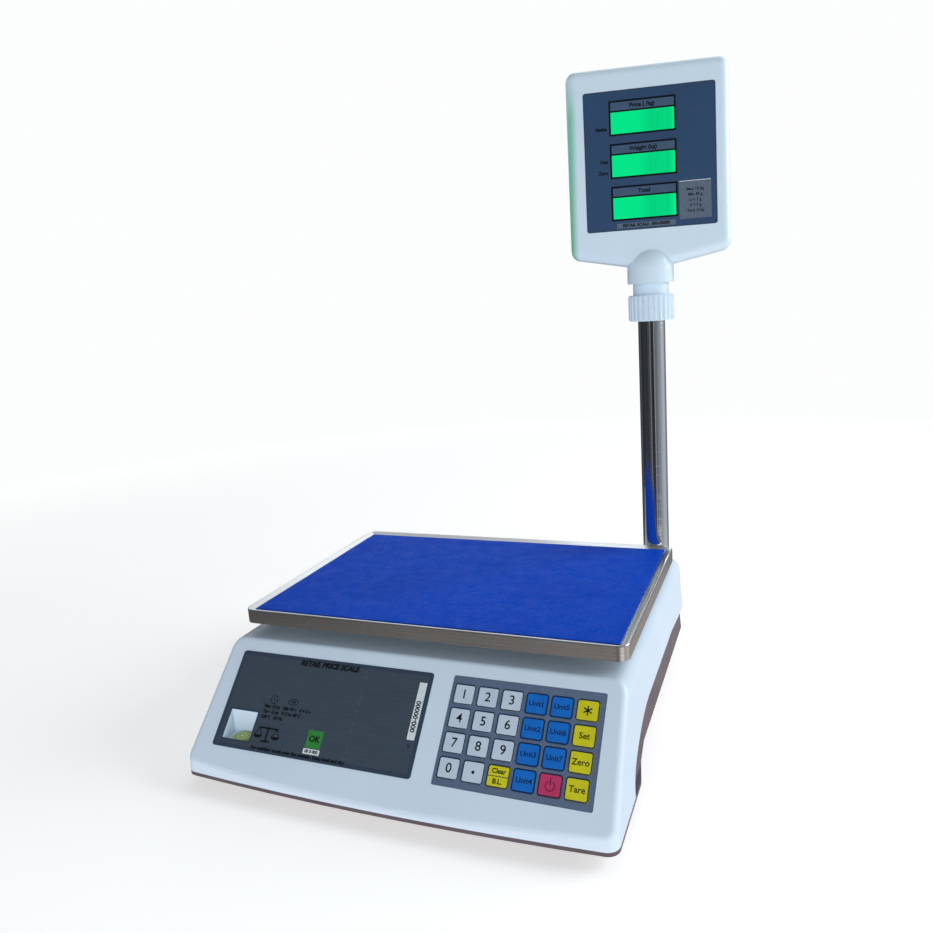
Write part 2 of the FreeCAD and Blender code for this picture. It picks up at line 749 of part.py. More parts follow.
def top_housing():
    low, deck = "Dims.shell_bottom", "Dims.deck_z"
    core = rounded_block("Dims.wall", low + " - Dims.past", deck + " - Dims.wall")
    shell = cut(rounded_block("0", low, deck), [core, side_arch()])
    inside = rounded_block("Dims.boss_start", low, deck + " - Dims.boss_start")
    bosses = [cylinder("Dims.boss_radius", deck, x, y, "Dims.boss_foot_z") for x, y in SCREW_SPOTS]
    ribs = common(inside, fuse(bosses + [level_niche("Dims.level_wall")]))
    ring = column_plate("Dims.column_ring", "Dims.column_ring_corner", "Dims.column_ring_rise", deck)
    through = "2 * Dims.wall + 2 * Dims.column_ring_rise"
    recess = "Dims.keypad_recess"
    way = "Dims.pole_radius + Dims.run_gap"
    openings = [
        column_plate("Dims.column_way", "Dims.column_way_corner", through, deck + " - 2 * Dims.wall"),
        cylinder(way, HUGE, "Dims.pole_x", "Dims.pole_y", "Dims.socket_top_z"),
        level_niche("0"),
        keypad_plate(
            "Dims.keypad_width",
            "Dims.keypad_height",
            recess + " + Dims.past",
            "Dims.keypad_corner",
            "-" + recess,
        ),
        keypad_plate(
            "Dims.keypad_window_width",
            "Dims.keypad_window_height",
            "2 * Dims.wall",
            "Dims.keypad_window_corner",
            "-2 * Dims.wall + Dims.past / 2",
        ),
    ]
    for x, y in SCREW_SPOTS:
        pilot = "Dims.screw_length + Dims.past"
        openings.append(cylinder("Dims.screw_radius", pilot, x, y, "Dims.boss_foot_z - Dims.past"))
    finish("top_housing", cut(fuse([shell, ribs, ring]), openings))


TRAY_INSET = "(Dims.wall + Dims.shell_gap)"
TRAY_CORE_INSET = "(Dims.wall + Dims.shell_gap + Dims.tray_wall)"
TRAY_FLOOR = "(Dims.tray_bottom + Dims.tray_floor)"


def tray_core():
    """The room inside the tray, open at the top."""
    block = base_block(TRAY_CORE_INSET, TRAY_FLOOR, "Dims.tray_rim + Dims.past")
    return cut(block, [side_bevel(TRAY_CORE_INSET, side) for side in (-1, 1)])


def tray_fixtures():
    """Bosses and blocks that stand on the tray's floor."""
    foot = "Dims.post_foot_z"
    block_rise = "Dims.cell_bottom - " + foot
    fixtures = [
        box("Dims.cell_block_width", "Dims.cell_block_depth", block_rise, "0", FIXED_Y, foot),
        cylinder("Dims.bolt_head_radius + 2 * Dims.past", "Dims.stop_boss_height", "0", COLUMN_Y, foot),
    ]
    for x, y in FOOT_SPOTS.values():
        fixtures.append(cylinder("Dims.foot_boss_radius", "Dims.foot_boss_height", x, y, foot))
    for x, y in SCREW_SPOTS:
        fixtures.append(cylinder("Dims.screw_boss_radius", "Dims.screw_boss_height", x, y, foot))
    for x, y in board_posts():
        fixtures.append(cylinder("Dims.board_post_radius", "Dims.main_board_z - " + foot, x, y, foot))
    return fixtures


def bottom_tray():
    outer = base_block(TRAY_INSET, "Dims.tray_bottom", "Dims.tray_rim")

    def floor_edge(edge):
        return edge.BoundBox.ZMax < dim("tray_bottom") + SLACK

    bevels = [side_bevel(TRAY_INSET, side) for side in (-1, 1)]
    rounded = cut(fillet(outer, "tray_edge_round", floor_edge), bevels)
    front_end = "Dims.front_rim_end_y - %s / 2" % HUGE
    low_front = box(HUGE, HUGE, HUGE, "0", front_end, "Dims.tray_front_rim")
    walls = cut(rounded, [tray_core(), low_front])
    lip = base_block("Dims.lip_inset", "Dims.tray_bottom", "Dims.shell_bottom - Dims.lip_gap")
    behind = [box(HUGE, HUGE, HUGE, "0", "Dims.lip_back_y + %s / 2" % HUGE, "0")]
    for sign in "-+":
        turn = "rotation(vector(0; 0; 1); %sDims.lip_turn)" % sign
        side = "(Dims.base_half_width - Dims.lip_inset + %s / 2 * cos(Dims.lip_turn))" % HUGE
        end_y = "Dims.lip_end_y + %s / 2 * sin(Dims.lip_turn)" % HUGE
        behind.append(box(HUGE, HUGE, HUGE, "Dims.base_x %s %s" % (sign, side), end_y, "0", turn=turn))
    foot = "Dims.post_foot_z"
    plate_block = box(
        "Dims.rear_plate_width + 2 * Dims.rear_plate_rim",
        "2 * Dims.rear_plate_thick",
        "Dims.rear_plate_high_z - %s + Dims.rear_plate_rim" % foot,
        "Dims.rear_plate_x",
        "Dims.rear_plate_y + Dims.past",
        foot,
    )
    within = base_block(TRAY_INSET, "Dims.tray_bottom", "Dims.tray_rim - Dims.past")
    whole = fuse([walls, cut(lip, behind), fuse(tray_fixtures()), common(within, plate_block)])
    finish("bottom_tray", cut(whole, tray_openings()))


def tray_openings():
    rear = "Dims.rear_plate_y"
    deep = "3 * Dims.rear_plate_thick"
    openings = [
        box(
            "Dims.rear_plate_width",
            HUGE,
            "Dims.rear_plate_high_z - Dims.rear_plate_low_z",
            "Dims.rear_plate_x",
            "%s + %s / 2" % (rear, HUGE),
            "Dims.rear_plate_low_z",
        ),
        fitting_block("inlet", "Dims.fitting_gap", deep, rear),
        fitting_block("switch", "Dims.fitting_gap", deep, rear),
        cylinder("Dims.bolt_hole", "Dims.cell_bottom", "0", COLUMN_Y, "Dims.post_foot_z + Dims.past"),
    ]
    for x, y in SCREW_SPOTS:
        openings.append(cylinder("Dims.screw_hole", "2 * Dims.tray_bottom", x, y, "Dims.past"))
        well = "Dims.screw_head_radius + Dims.head_room"
        openings.append(cylinder(well, "Dims.screw_seat_z", x, y, "0"))
    stem_room = "Dims.foot_stem_top_z + Dims.bolt_bite"
    for x, y in FOOT_SPOTS.values():
        openings.append(cylinder("Dims.foot_hole", stem_room, x, y, "Dims.past"))
    well = "Dims.bolt_head_radius + Dims.head_room"
    for y in bolt_rows(FIXED_Y):
        openings.append(cylinder("Dims.bolt_hole", "Dims.cell_bottom + Dims.past", "0", y, "0"))
        openings.append(cylinder(well, "Dims.screw_seat_z", "0", y, "0"))
    return openings


def fitting_block(fitting, grown, depth, middle_y):
    """A block of the inlet's or the switch's width and height, grown all round by half the given size."""
    width = "Dims.%s_width + %s" % (fitting, grown)
    height = "Dims.%s_height + %s" % (fitting, grown)
    low = "Dims.rear_fitting_z - (%s) / 2" % height
    return box(width, depth, height, "Dims.%s_x" % fitting, middle_y, low)


def bolt_rows(middle):
    return ["%s - Dims.bolt_spread" % middle, "%s + Dims.bolt_spread" % middle]


def four_corners(middle_x, middle_y, reach_x, reach_y):
    """The places of four things set out in a rectangle."""
    corners = []
    for i, j in [(-1, -1), (1, -1), (1, 1), (-1, 1)]:
        x = "%s + %d * (%s)" % (middle_x, i, reach_x)
        y = "%s + %d * (%s)" % (middle_y, j, reach_y)
        corners.append((x, y))
    return corners


def board_posts():
    across = "Dims.main_board_width / 2 - Dims.board_post_inset"
    along = "Dims.main_board_depth / 2 - Dims.board_post_inset"
    return four_corners("Dims.main_board_x", "Dims.main_board_y", across, along)


def housing_screws():
    seat, head = "Dims.screw_seat_z", "Dims.screw_head_height"
    screws = []
    for x, y in SCREW_SPOTS:
        low = "%s - %s" % (seat, head)
        shank = cylinder("Dims.screw_radius - Dims.hole_play", "Dims.screw_length", x, y, seat)
        cap = cylinder("Dims.screw_head_radius", head, x, y, low)
        slot = box("Dims.screw_slot_width", "Dims.screw_slot_length", "Dims.screw_slot_depth", x, y, low)
        screws.append(cut(fuse([shank, cap]), [slot]))
    finish("housing_screws", group(screws))


def levelling_feet():
    for name, (x, y) in FOOT_SPOTS.items():
        pad_height = "Dims.foot_pad_height"
        rubber = cylinder("Dims.foot_radius", pad_height, x, y)
        hollow = cylinder("Dims.foot_radius - Dims.foot_sole_rim", "Dims.past", x, y)
        wheel = cylinder("Dims.foot_wheel_radius", "Dims.foot_wheel_height", x, y, pad_height)
        stem = cylinder("Dims.foot_stem_radius", "Dims.foot_stem_top_z - %s" % pad_height, x, y, pad_height)
        finish(name, fuse([cut(rubber, [hollow]), wheel, stem]))


# ---------------------------------------------------------------------------------------------------------
# pan, its support and the load cell
# ---------------------------------------------------------------------------------------------------------


def pan_sides(inset):
    """The pan's left, right, front and rear, inset all round."""
    half_width = "(Dims.pan_width / 2 - %s)" % inset
    half_depth = "(Dims.pan_depth / 2 - %s)" % inset
    return ("-" + half_width, half_width, "Dims.pan_y - " + half_depth, "Dims.pan_y + " + half_depth)


def weighing_pan():
    """A pressed sheet: flat middle, raised rim, skirt turned down all round, open below."""
    ridge_z = "(Dims.pan_flat_z + Dims.pan_rim_rise)"
    low = "%s - Dims.pan_skirt" % ridge_z
    width, depth, skirt = "Dims.pan_width", "Dims.pan_depth", "Dims.pan_skirt"
    outer = plate(width, depth, skirt, "Dims.pan_corner", "0", "Dims.pan_y", low)

    def ridge_edge(edge):
        return edge.BoundBox.ZMin > dim("pan_flat_z") + dim("pan_rim_rise") - SLACK

    rounded = fillet(outer, "pan_sheet", ridge_edge)
    sheet_twice = "2 * Dims.pan_sheet"
    hollow = plate(
        width + " - " + sheet_twice,
        depth + " - " + sheet_twice,
        skirt + " - Dims.pan_rim_rise - Dims.pan_sheet + Dims.past",
        "Dims.pan_corner - Dims.pan_sheet",
        "0",
        "Dims.pan_y",
        low + " - Dims.past",
    )
    dish = wedge("Dims.pan_flat_z", ridge_z, pan_sides("Dims.pan_rim_width"), pan_sides("Dims.pan_ridge"))
    finish("weighing_pan", cut(rounded, [hollow, dish]))


def pan_film():
    width = "Dims.pan_width - 2 * Dims.pan_rim_width"
    depth = "Dims.pan_depth - 2 * Dims.pan_rim_width"
    thick, corner, low = "Dims.film_thick", "Dims.film_corner", "Dims.pan_flat_z"
    finish("pan_film", plate(width, depth, thick, corner, "0", "Dims.pan_y", low))


def arm_ends():
    return four_corners("0", "Dims.pan_y", "Dims.arm_reach_x", "Dims.arm_reach_y")


def pan_support():
    length = "2 * sqrt(Dims.arm_reach_x ^ 2 + Dims.arm_reach_y ^ 2)"
    slant = "rotation(vector(0; 0; 1); %satan(Dims.arm_reach_y / Dims.arm_reach_x))"
    thick = "Dims.arm_thick"
    arms = [
        box(length, "Dims.arm_width", thick, "0", "Dims.pan_y", ARM_Z, turn=slant % sign)
        for sign in ("", "-")
    ]
    pads = [cylinder("Dims.arm_width / 2 + Dims.past", thick, x, y, ARM_Z) for x, y in arm_ends()]
    hub_y = "Dims.pan_y + Dims.hub_shift"
    hub = plate("Dims.hub_width", "Dims.hub_depth", thick, "Dims.hub_corner", "0", hub_y, ARM_Z)
    side = "Dims.column_side"
    column = box(side, side, ARM_Z + " - %s + Dims.past" % CELL_TOP, "0", COLUMN_Y, CELL_TOP)
    holes = []
    for y in bolt_rows(COLUMN_Y):
        holes.append(cylinder("Dims.bolt_hole", "Dims.pan_flat_z", "0", y, CELL_TOP + " - Dims.past"))
        well = "Dims.bolt_head_radius + Dims.head_room"
        holes.append(cylinder(well, thick, "0", y, ARM_Z + " + " + BOLT_SINK))
    for x, y in arm_ends():
        seat = "Dims.bumper_stem_radius + Dims.hole_play"
        holes.append(cylinder(seat, thick, x, y, ARM_Z + " + Dims.bumper_seat"))
    finish("pan_support", cut(fuse(arms + pads + [hub, column]), holes))


def pan_bumpers():
    bumpers = []
    for x, y in arm_ends():
        top = cylinder("Dims.bumper_radius", "Dims.bumper_height", x, y, ARM_Z + " + Dims.arm_thick")
        stem_length = "Dims.arm_thick - Dims.bumper_seat"
        stem = cylinder("Dims.bumper_stem_radius", stem_length, x, y, ARM_Z + " + Dims.bumper_seat")
        bumpers.append(fuse([top, stem]))
    finish("pan_bumpers", group(bumpers))


def load_cell():
    width, height, low = "Dims.cell_width", "Dims.cell_height", "Dims.cell_bottom"
    beam = box(width, "Dims.cell_length", height, "0", "Dims.pan_y", low)
    middle = "%s + %s / 2" % (low, height)
    spread = "Dims.cell_bore_spread"
    length = width + " + 2 * Dims.past"
    start = "-%s / 2 - Dims.past" % width
    cuts = [
        cylinder("Dims.cell_bore", length, start, "Dims.pan_y %s %s" % (sign, spread), middle, turn=ALONG_X)
        for sign in "-+"
    ]
    slot = "Dims.cell_slot"
    cuts.append(box(length, "2 * " + spread, slot, "0", "Dims.pan_y", "%s - %s / 2" % (middle, slot)))
    for y in bolt_rows(FIXED_Y) + bolt_rows(COLUMN_Y):
        cuts.append(cylinder("Dims.bolt_hole", HUGE, "0", y, "0"))
    finish("load_cell", cut(beam, cuts))


def cell_bolts():
    """Two bolts up through the tray into the cell's fixed end, two down into its free end."""
    head_height = "Dims.bolt_head_height"
    bolts = []
    for y in bolt_rows(FIXED_Y):
        seat = "Dims.screw_seat_z"
        shank = cylinder("Dims.bolt_radius", "Dims.low_bolt_length", "0", y, seat)
        head = cylinder("Dims.bolt_head_radius", head_height, "0", y, "%s - %s" % (seat, head_height))
        bolts.append(fuse([shank, head]))
    for y in bolt_rows(COLUMN_Y):
        seat = "(%s + %s)" % (ARM_Z, BOLT_SINK)
        low = "(Dims.cell_bottom + Dims.bolt_bite)"
        shank = cylinder("Dims.bolt_radius", "%s - %s" % (seat, low), "0", y, low)
        head = cylinder("Dims.bolt_head_radius", head_height, "0", y, seat)
        bolts.append(fuse([shank, head]))
    finish("cell_bolts", group(bolts))


def overload_stop():
    head_height = "Dims.bolt_head_height"
    head_low = "(Dims.cell_bottom - Dims.stop_gap - %s)" % head_height
    low = "(Dims.post_foot_z + Dims.stop_start)"
    shank = cylinder("Dims.bolt_radius", "%s - %s" % (head_low, low), "0", COLUMN_Y, low)
    head = cylinder("Dims.bolt_head_radius", head_height, "0", COLUMN_Y, head_low)
    finish("overload_stop", fuse([shank, head]))


# ---------------------------------------------------------------------------------------------------------
# front panel: label, level, keypad
# ---------------------------------------------------------------------------------------------------------


def front_label():
    width, height, thick = "Dims.label_width", "Dims.label_height", "Dims.label_thick"
    corner, x, up = "Dims.label_corner", "Dims.label_x", "-Dims.label_down"
    sheet_plate = plate(width, height, thick, corner, x, up, "0", PANEL)
    window = plate(
        "Dims.level_width",
        "Dims.level_height",
        thick + " + 2 * Dims.past",
        "Dims.level_corner",
        "Dims.level_x",
        "-Dims.level_down",
        "-Dims.past",
        PANEL,
    )
    finish("front_label", cut(sheet_plate, [window]))


def bubble_level():
    middle = "%s + Dims.vial_radius + Dims.vial_lip" % LEVEL_LOW_Y
    vial = cylinder("Dims.vial_radius", "Dims.vial_tall", "Dims.vial_x", middle, LEVEL_FLOOR_Z)

    def top_edge(edge):
        return edge.BoundBox.ZMin > vial.Shape.BoundBox.ZMax - SLACK

    finish("bubble_level", fillet(vial, "vial_round", top_edge))


def key_spots():
    """Name and place of each key, left to right and top to bottom."""
    names = [
        ["key_1", "key_2", "key_3", "key_unit_1", "key_unit_5", "key_star"],
        ["key_4", "key_5", "key_6", "key_unit_2", "key_unit_6", "key_set"],
        ["key_7", "key_8", "key_9", "key_unit_3", "key_unit_7", "key_zero"],
        ["key_0", "key_point", "key_clear", "key_unit_4", "key_power", "key_tare"],
    ]
    for row, line in enumerate(names):
        for column, name in enumerate(line):
            x = "(Dims.key_x + %d * Dims.key_pitch_x)" % column
            up = "-(Dims.key_down + %d * Dims.key_pitch_down)" % row
            yield name, x, up


def key_plate(grown, thick, corner, x, up, rise):
    """A plate of a key's size, grown all round by the given margin."""
    width = "Dims.key_width + 2 * (%s)" % grown
    height = "Dims.key_height + 2 * (%s)" % grown
    return plate(width, height, thick, corner, x, up, rise, PANEL)


def keys():
    """Each key: a cap on a wider flange that the overlay holds in."""
    top, flange_top, flange_thick = "Dims.key_top", "Dims.key_flange_top", "Dims.key_flange_thick"
    corner = "Dims.key_corner"
    for name, x, up in key_spots():
        flange_low = "%s - %s" % (flange_top, flange_thick)
        flange = key_plate("Dims.key_flange_margin", flange_thick, corner, x, up, flange_low)
        cap = key_plate("0", "%s - %s" % (top, flange_top), corner, x, up, flange_top)
        finish(name, fuse([flange, cap]))


def keypad_overlay():
    width, height = "Dims.keypad_width - Dims.overlay_gap", "Dims.keypad_height - Dims.overlay_gap"
    corner = "Dims.keypad_corner - Dims.overlay_gap / 2"
    face = keypad_plate(width, height, "Dims.overlay_thick", corner, "-Dims.keypad_recess")
    low = "-Dims.keypad_recess - Dims.past"
    thick = "Dims.overlay_thick + 2 * Dims.past"
    gap = "Dims.key_gap"
    windows = [key_plate(gap, thick, "Dims.key_corner + " + gap, x, up, low) for name, x, up in key_spots()]
    finish("keypad_overlay", cut(face, windows))


def keypad_board():
    """The board under the keys, a dome under each, and its plug behind."""
    thick = "Dims.board_thick"
    low = "-Dims.wall - " + thick
    width = "Dims.keypad_window_width + Dims.keypad_board_side"
    height = "Dims.keypad_window_height + Dims.keypad_board_end"
    board = keypad_plate(width, height, thick, "Dims.board_corner", low)
    sunk = "2 * Dims.solder"
    dome_low = "-Dims.wall - " + sunk
    dome_rise = "Dims.dome_height + " + sunk
    domes = [cylinder("Dims.dome_radius", dome_rise, x, up, dome_low, PANEL) for name, x, up in key_spots()]
    width, depth, rise, down = KEYPAD_PLUG
    plug_low = "%s - %s + Dims.solder" % (low, rise)
    plug = box(width, depth, rise, "Dims.keypad_x", "-Dims.keypad_down - %s" % down, plug_low, PANEL)
    finish("keypad_board", fuse([board, plug] + domes))


# ---------------------------------------------------------------------------------------------------------
# electrics
# ---------------------------------------------------------------------------------------------------------


# the keypad board's plug: width, depth, height and how far below the board's middle
KEYPAD_PLUG = ("26", "6", "7", "24")

# parts on the main board: width, depth, height, and place from the board's middle
BOARD_CHIPS = [
    (18, 18, 2.6, -12, 8),
    (12, 9, 2.2, 18, 14),
    (22, 8, 4, 36, -24),
    (9, 7, 2.2, -34, -18),
    (8, 16, 8, 55, -10),
]
CAPACITOR_RADIUS = "4"
CAPACITOR_HEIGHT = "13"
CAPACITOR_PLACES = [(-42, 24), (-31, 24), (-20, 24)]

# parts on the back of the display board: width, height, depth, and place from the board's middle
DISPLAY_CHIPS = [(16, 16, 2.5, -24, 30), (16, 16, 2.5, 22, 30), (16, 16, 2.5, 0, -10), (16, 10, 7, 0, -57)]


def main_board():
    x, y, z = "Dims.main_board_x", "Dims.main_board_y", "Dims.main_board_z"
    thick = "Dims.board_thick"
    board = plate("Dims.main_board_width", "Dims.main_board_depth", thick, "Dims.board_corner", x, y, z)
    top = "%s + %s - Dims.solder" % (z, thick)
    parts = [
        box(width, depth, "%s + Dims.solder" % rise, "%s + %s" % (x, dx), "%s + %s" % (y, dy), top)
        for width, depth, rise, dx, dy in BOARD_CHIPS
    ]
    for dx, dy in CAPACITOR_PLACES:
        place_x, place_y = "%s + %s" % (x, dx), "%s + %s" % (y, dy)
        parts.append(cylinder(CAPACITOR_RADIUS, CAPACITOR_HEIGHT, place_x, place_y, top))
    through = thick + " + 2 * Dims.past"
    low = z + " - Dims.past"
    holes = [cylinder("Dims.board_hole", through, post_x, post_y, low) for post_x, post_y in board_posts()]
    finish("main_board", cut(fuse([board] + parts), holes))


# the transformer's iron, its coil and its foot: width, depth, height and how far above the floor
TRANSFORMER_BLOCKS = [(50, 22, 40, 0), (32, 40, 26, 7), (50, 46, 1.5, 0)]
# a battery tab: width, thickness and height
BATTERY_TAB = ("5", "0.8", "6.5")
# where each pin's lower middle stands, across and up from the inlet's middle
INLET_PINS = [(-7, -2), (7, -2), (0, 2)]


def mains_transformer():
    x, y = "Dims.transformer_x", "Dims.transformer_y"
    blocks = []
    for width, depth, rise, low in TRANSFORMER_BLOCKS:
        blocks.append(box(width, depth, rise, x, y, "%s + %s" % (TRAY_FLOOR, low)))
    finish("mains_transformer", fuse(blocks))


def battery():
    x, y, rise = "Dims.battery_x", "Dims.battery_y", "Dims.battery_tall"
    case = plate("Dims.battery_width", "Dims.battery_length", rise, "Dims.battery_corner", x, y, TRAY_FLOOR)
    top = "%s + %s" % (TRAY_FLOOR, rise)
    tab_y = y + " + Dims.battery_tab_y"
    tabs = [box(*BATTERY_TAB, "%s %s Dims.battery_tab_x" % (x, sign), tab_y, top) for sign in "-+"]
    finish("battery", fuse([case] + tabs))


def battery_strap():
    """A flat strap over the battery, its two feet turned out on the floor."""
    x, y = "Dims.battery_x", "Dims.battery_y"
    rise = "(Dims.battery_tall + Dims.strap_gap)"
    width, thick = "Dims.strap_width", "Dims.strap_thick"
    span = "Dims.battery_width + 2 * (%s + Dims.strap_gap)" % thick
    bridge = box(span, width, thick, x, y, "%s + %s" % (TRAY_FLOOR, rise))
    legs = []
    for sign in "-+":
        side = "%s %s (Dims.battery_width / 2 + Dims.strap_gap + %s / 2)" % (x, sign, thick)
        foot = "%s %s (Dims.battery_width / 2 + Dims.strap_foot / 2 + Dims.strap_gap)" % (x, sign)
        legs.append(box(thick, width, "%s + %s" % (rise, thick), side, y, TRAY_FLOOR))
        legs.append(box("Dims.strap_foot", width, thick, foot, y, TRAY_FLOOR))
    finish("battery_strap", fuse([bridge] + legs))


def mains_inlet():
    """A recessed three-pin inlet: flange, shell, and pins standing up from the floor of the recess."""
    y, thick = "Dims.rear_plate_y", "Dims.inlet_flange"
    flange = fitting_block("inlet", "2 * Dims.flange_rim", thick, "%s + %s / 2" % (y, thick))
    shell = fitting_block("inlet", "0", "Dims.inlet_depth", y + " - Dims.inlet_depth / 2 + Dims.past")
    floor = "(%s - Dims.inlet_depth + Dims.past + Dims.inlet_floor)" % y
    cavity_middle = floor + " + Dims.inlet_depth / 2"
    cavity = fitting_block("inlet", "-2 * Dims.inlet_wall", "Dims.inlet_depth", cavity_middle)
    pins = []
    for dx, dz in INLET_PINS:
        pin_x, pin_y = "Dims.inlet_x + (%s)" % dx, floor + " + Dims.pin_length / 2"
        pin_z = "Dims.rear_fitting_z + (%s)" % dz
        pins.append(box("Dims.pin_width", "Dims.pin_length", "Dims.pin_thick", pin_x, pin_y, pin_z))
    finish("mains_inlet", fuse([cut(fuse([flange, shell]), [cavity])] + pins))


def power_switch():
    """The switch's frame: a flange, a case, the well that the rocker tips in and the bore of its pin."""
    y = "Dims.rear_plate_y"
    thick = "Dims.switch_flange"
    flange = fitting_block("switch", "2 * Dims.flange_overlap", thick, "%s + %s / 2" % (y, thick))
    case = fitting_block("switch", "0", "Dims.switch_depth", y + " - Dims.switch_depth / 2 + Dims.past")
    well = box(
        "Dims.well_width",
        "Dims.well_depth + 2 * " + thick,
        "Dims.well_height",
        "Dims.switch_x",
        "%s - Dims.well_depth / 2 + %s" % (y, thick),
        "Dims.rear_fitting_z - Dims.well_height / 2",
    )
    bore_length = "(Dims.rocker_pin_length + 2 * Dims.solder)"
    bore_low = "Dims.rear_fitting_z - %s / 2" % bore_length
    bore = cylinder("Dims.rocker_pin_radius + Dims.fit_gap", bore_length, "Dims.switch_x", y, bore_low)
    finish("power_switch", cut(fuse([flange, case]), [well, bore]))


def power_rocker():
    """A shallow V seen from above, tipped about an upright pin; at rest its left half is pressed in."""
    half, wing, shoulder, valley, belly, belly_half = 7.2, 2.6, 0.2, 1.4, -3.6, 2.6
    right = [(half, wing), (half, shoulder), (belly_half, belly)]
    left = [(-x, y) for x, y in reversed(right)]
    height = dim("rocker_height")
    corners = [Vector(x, y, -height / 2) for x, y in right + left + [(0, valley)]]
    profile = Part.Face(Part.makePolygon(corners + corners[:1]))
    pin_length = dim("rocker_pin_length")
    pin = Part.makeCylinder(dim("rocker_pin_radius"), pin_length, Vector(0, 0, -pin_length / 2))
    rocker = doc.addObject("Part::Feature", "Rocker")
    rocker.Shape = profile.extrude(Vector(0, 0, height)).fuse(pin)
    tilt = "rotation(vector(0; 0; 1); Dims.rocker_tilt)"
    place(rocker, "Dims.switch_x", "Dims.rear_plate_y", "Dims.rear_fitting_z", HERE, tilt)
    finish("power_rocker", rocker)


# ---------------------------------------------------------------------------------------------------------
# pole, clamp and the lead inside
# ---------------------------------------------------------------------------------------------------------


def on_pole(radius, height, z):
    return cylinder(radius, height, "0", "0", z, POLE)


def pole():
    height = "Dims.pole_top_z - Dims.pole_foot_z"
    outer = on_pole("Dims.pole_radius", height, "Dims.pole_foot_z")
    through = height + " + 2 * Dims.past"
    bore = on_pole("Dims.pole_radius - Dims.pole_wall", through, "Dims.pole_foot_z - Dims.past")
    finish("pole", cut(outer, [bore]))


def pole_socket():
    """The tube on the tray's floor that holds the pole, flattened where the tray's side leans in."""
    top = "Dims.socket_top_z"
    sleeve = on_pole("Dims.socket_radius", "%s - %s" % (top, TRAY_FLOOR), TRAY_FLOOR)
    flange = on_pole("Dims.socket_radius + Dims.socket_flange", "Dims.socket_flange_thick", TRAY_FLOOR)
    bore = on_pole("Dims.pole_radius + Dims.fit_gap", top, "Dims.pole_foot_z")
    way_low = TRAY_FLOOR + " + Dims.socket_floor"
    throat = on_pole("Dims.socket_throat", "Dims.pole_foot_z - Dims.socket_floor", way_low)
    length = "Dims.socket_slot_length"
    slot_x = "Dims.pole_x - %s / 2 - 2 * Dims.past" % length
    slot = box(length, "Dims.socket_slot_width", "Dims.socket_slot_height", slot_x, "Dims.pole_y", way_low)
    flat = side_bevel("(%s + Dims.fit_gap)" % TRAY_CORE_INSET, 1)
    finish("pole_socket", cut(fuse([sleeve, flange]), [bore, throat, slot, flat]))


def neck_crown(grown):
    """The half ball that tops the neck."""
    ball = doc.addObject("Part::Sphere", "HalfBall")
    ball.Angle1 = 0
    ball.setExpression("Radius", "Dims.collar_radius + " + grown)
    return place(ball, z="Dims.crown_z", frame=POLE)


def swivel_neck():
    sleeve_low, collar_low = "Dims.sleeve_bottom_z", "Dims.collar_bottom_z"
    sleeve = on_pole("Dims.sleeve_radius", "%s - %s + Dims.past" % (collar_low, sleeve_low), sleeve_low)
    collar = on_pole("Dims.collar_radius", "Dims.crown_z - " + collar_low, collar_low)
    bore_length = "Dims.pole_top_z - %s + Dims.past" % sleeve_low
    bore = on_pole("Dims.pole_radius + Dims.fit_gap", bore_length, sleeve_low + " - Dims.past")
    way = on_pole("Dims.neck_way_radius", "2 * Dims.collar_radius", "Dims.pole_top_z - Dims.past")
    finish("swivel_neck", cut(fuse([sleeve, collar, neck_crown("0")]), [bore, way]))


def clamp_nut():
    """The ribbed ring below the neck, one rib repeated round it."""
    body = doc.addObject("PartDesign::Body", "Nut")
    ring_sketch = sketch_on(body, "XY_Plane")
    ring_sketch.addGeometry(Part.Circle(Vector(0, 0, 0), Vector(0, 0, 1), dim("nut_radius")))
    ring_sketch.addConstraint(Sketcher.Constraint("Coincident", 0, 3, -1, 1))
    bind(ring_sketch, Sketcher.Constraint("Radius", 0, dim("nut_radius")), "Dims.nut_radius")
    pad(body, ring_sketch, "Dims.nut_height")
    rib_sketch = sketch_on(body, "XY_Plane", "Dims.rib_end")
    rib_x = "Dims.nut_radius - Dims.rib_sink"
    rib_sketch.addGeometry(Part.Circle(Vector(number(rib_x), 0, 0), Vector(0, 0, 1), dim("rib_radius")))
    rib_sketch.addConstraint(Sketcher.Constraint("PointOnObject", 0, 3, -1))
    bind(rib_sketch, Sketcher.Constraint("Radius", 0, dim("rib_radius")), "Dims.rib_radius")
    bind(rib_sketch, Sketcher.Constraint("DistanceX", -1, 1, 0, 3, number(rib_x)), rib_x)
    rib = pad(body, rib_sketch, "Dims.nut_height - 2 * Dims.rib_end")
    doc.recompute()
    pattern = body.newObject("PartDesign::PolarPattern", "Ribs")
    pattern.Originals = [rib]
    pattern.Axis = (ring_sketch, ["N_Axis"])
    pattern.Angle = 360
    pattern.setExpression("Occurrences", "Dims.nut_ribs")
    body.Tip = pattern
    place(body, "0", "0", "Dims.nut_bottom_z", POLE)
    seat = "Dims.nut_bottom_z + Dims.nut_lip"
    sleeve_way = on_pole("Dims.sleeve_radius + Dims.run_gap", "Dims.nut_height", seat)
    pole_way = on_pole("Dims.pole_radius + Dims.run_gap", HUGE, "Dims.nut_bottom_z - Dims.past")
    finish("clamp_nut", cut(body, [sleeve_way, pole_way]))


# the lead's corners, as the builder of the scale would lay it: from the main board round the load cell
LEAD_START = (-25, -95)
LEAD_FLOOR_PLACES = [(10, -95), (105, -60)]
LEAD_RADII = [30, 60, 16, 14]


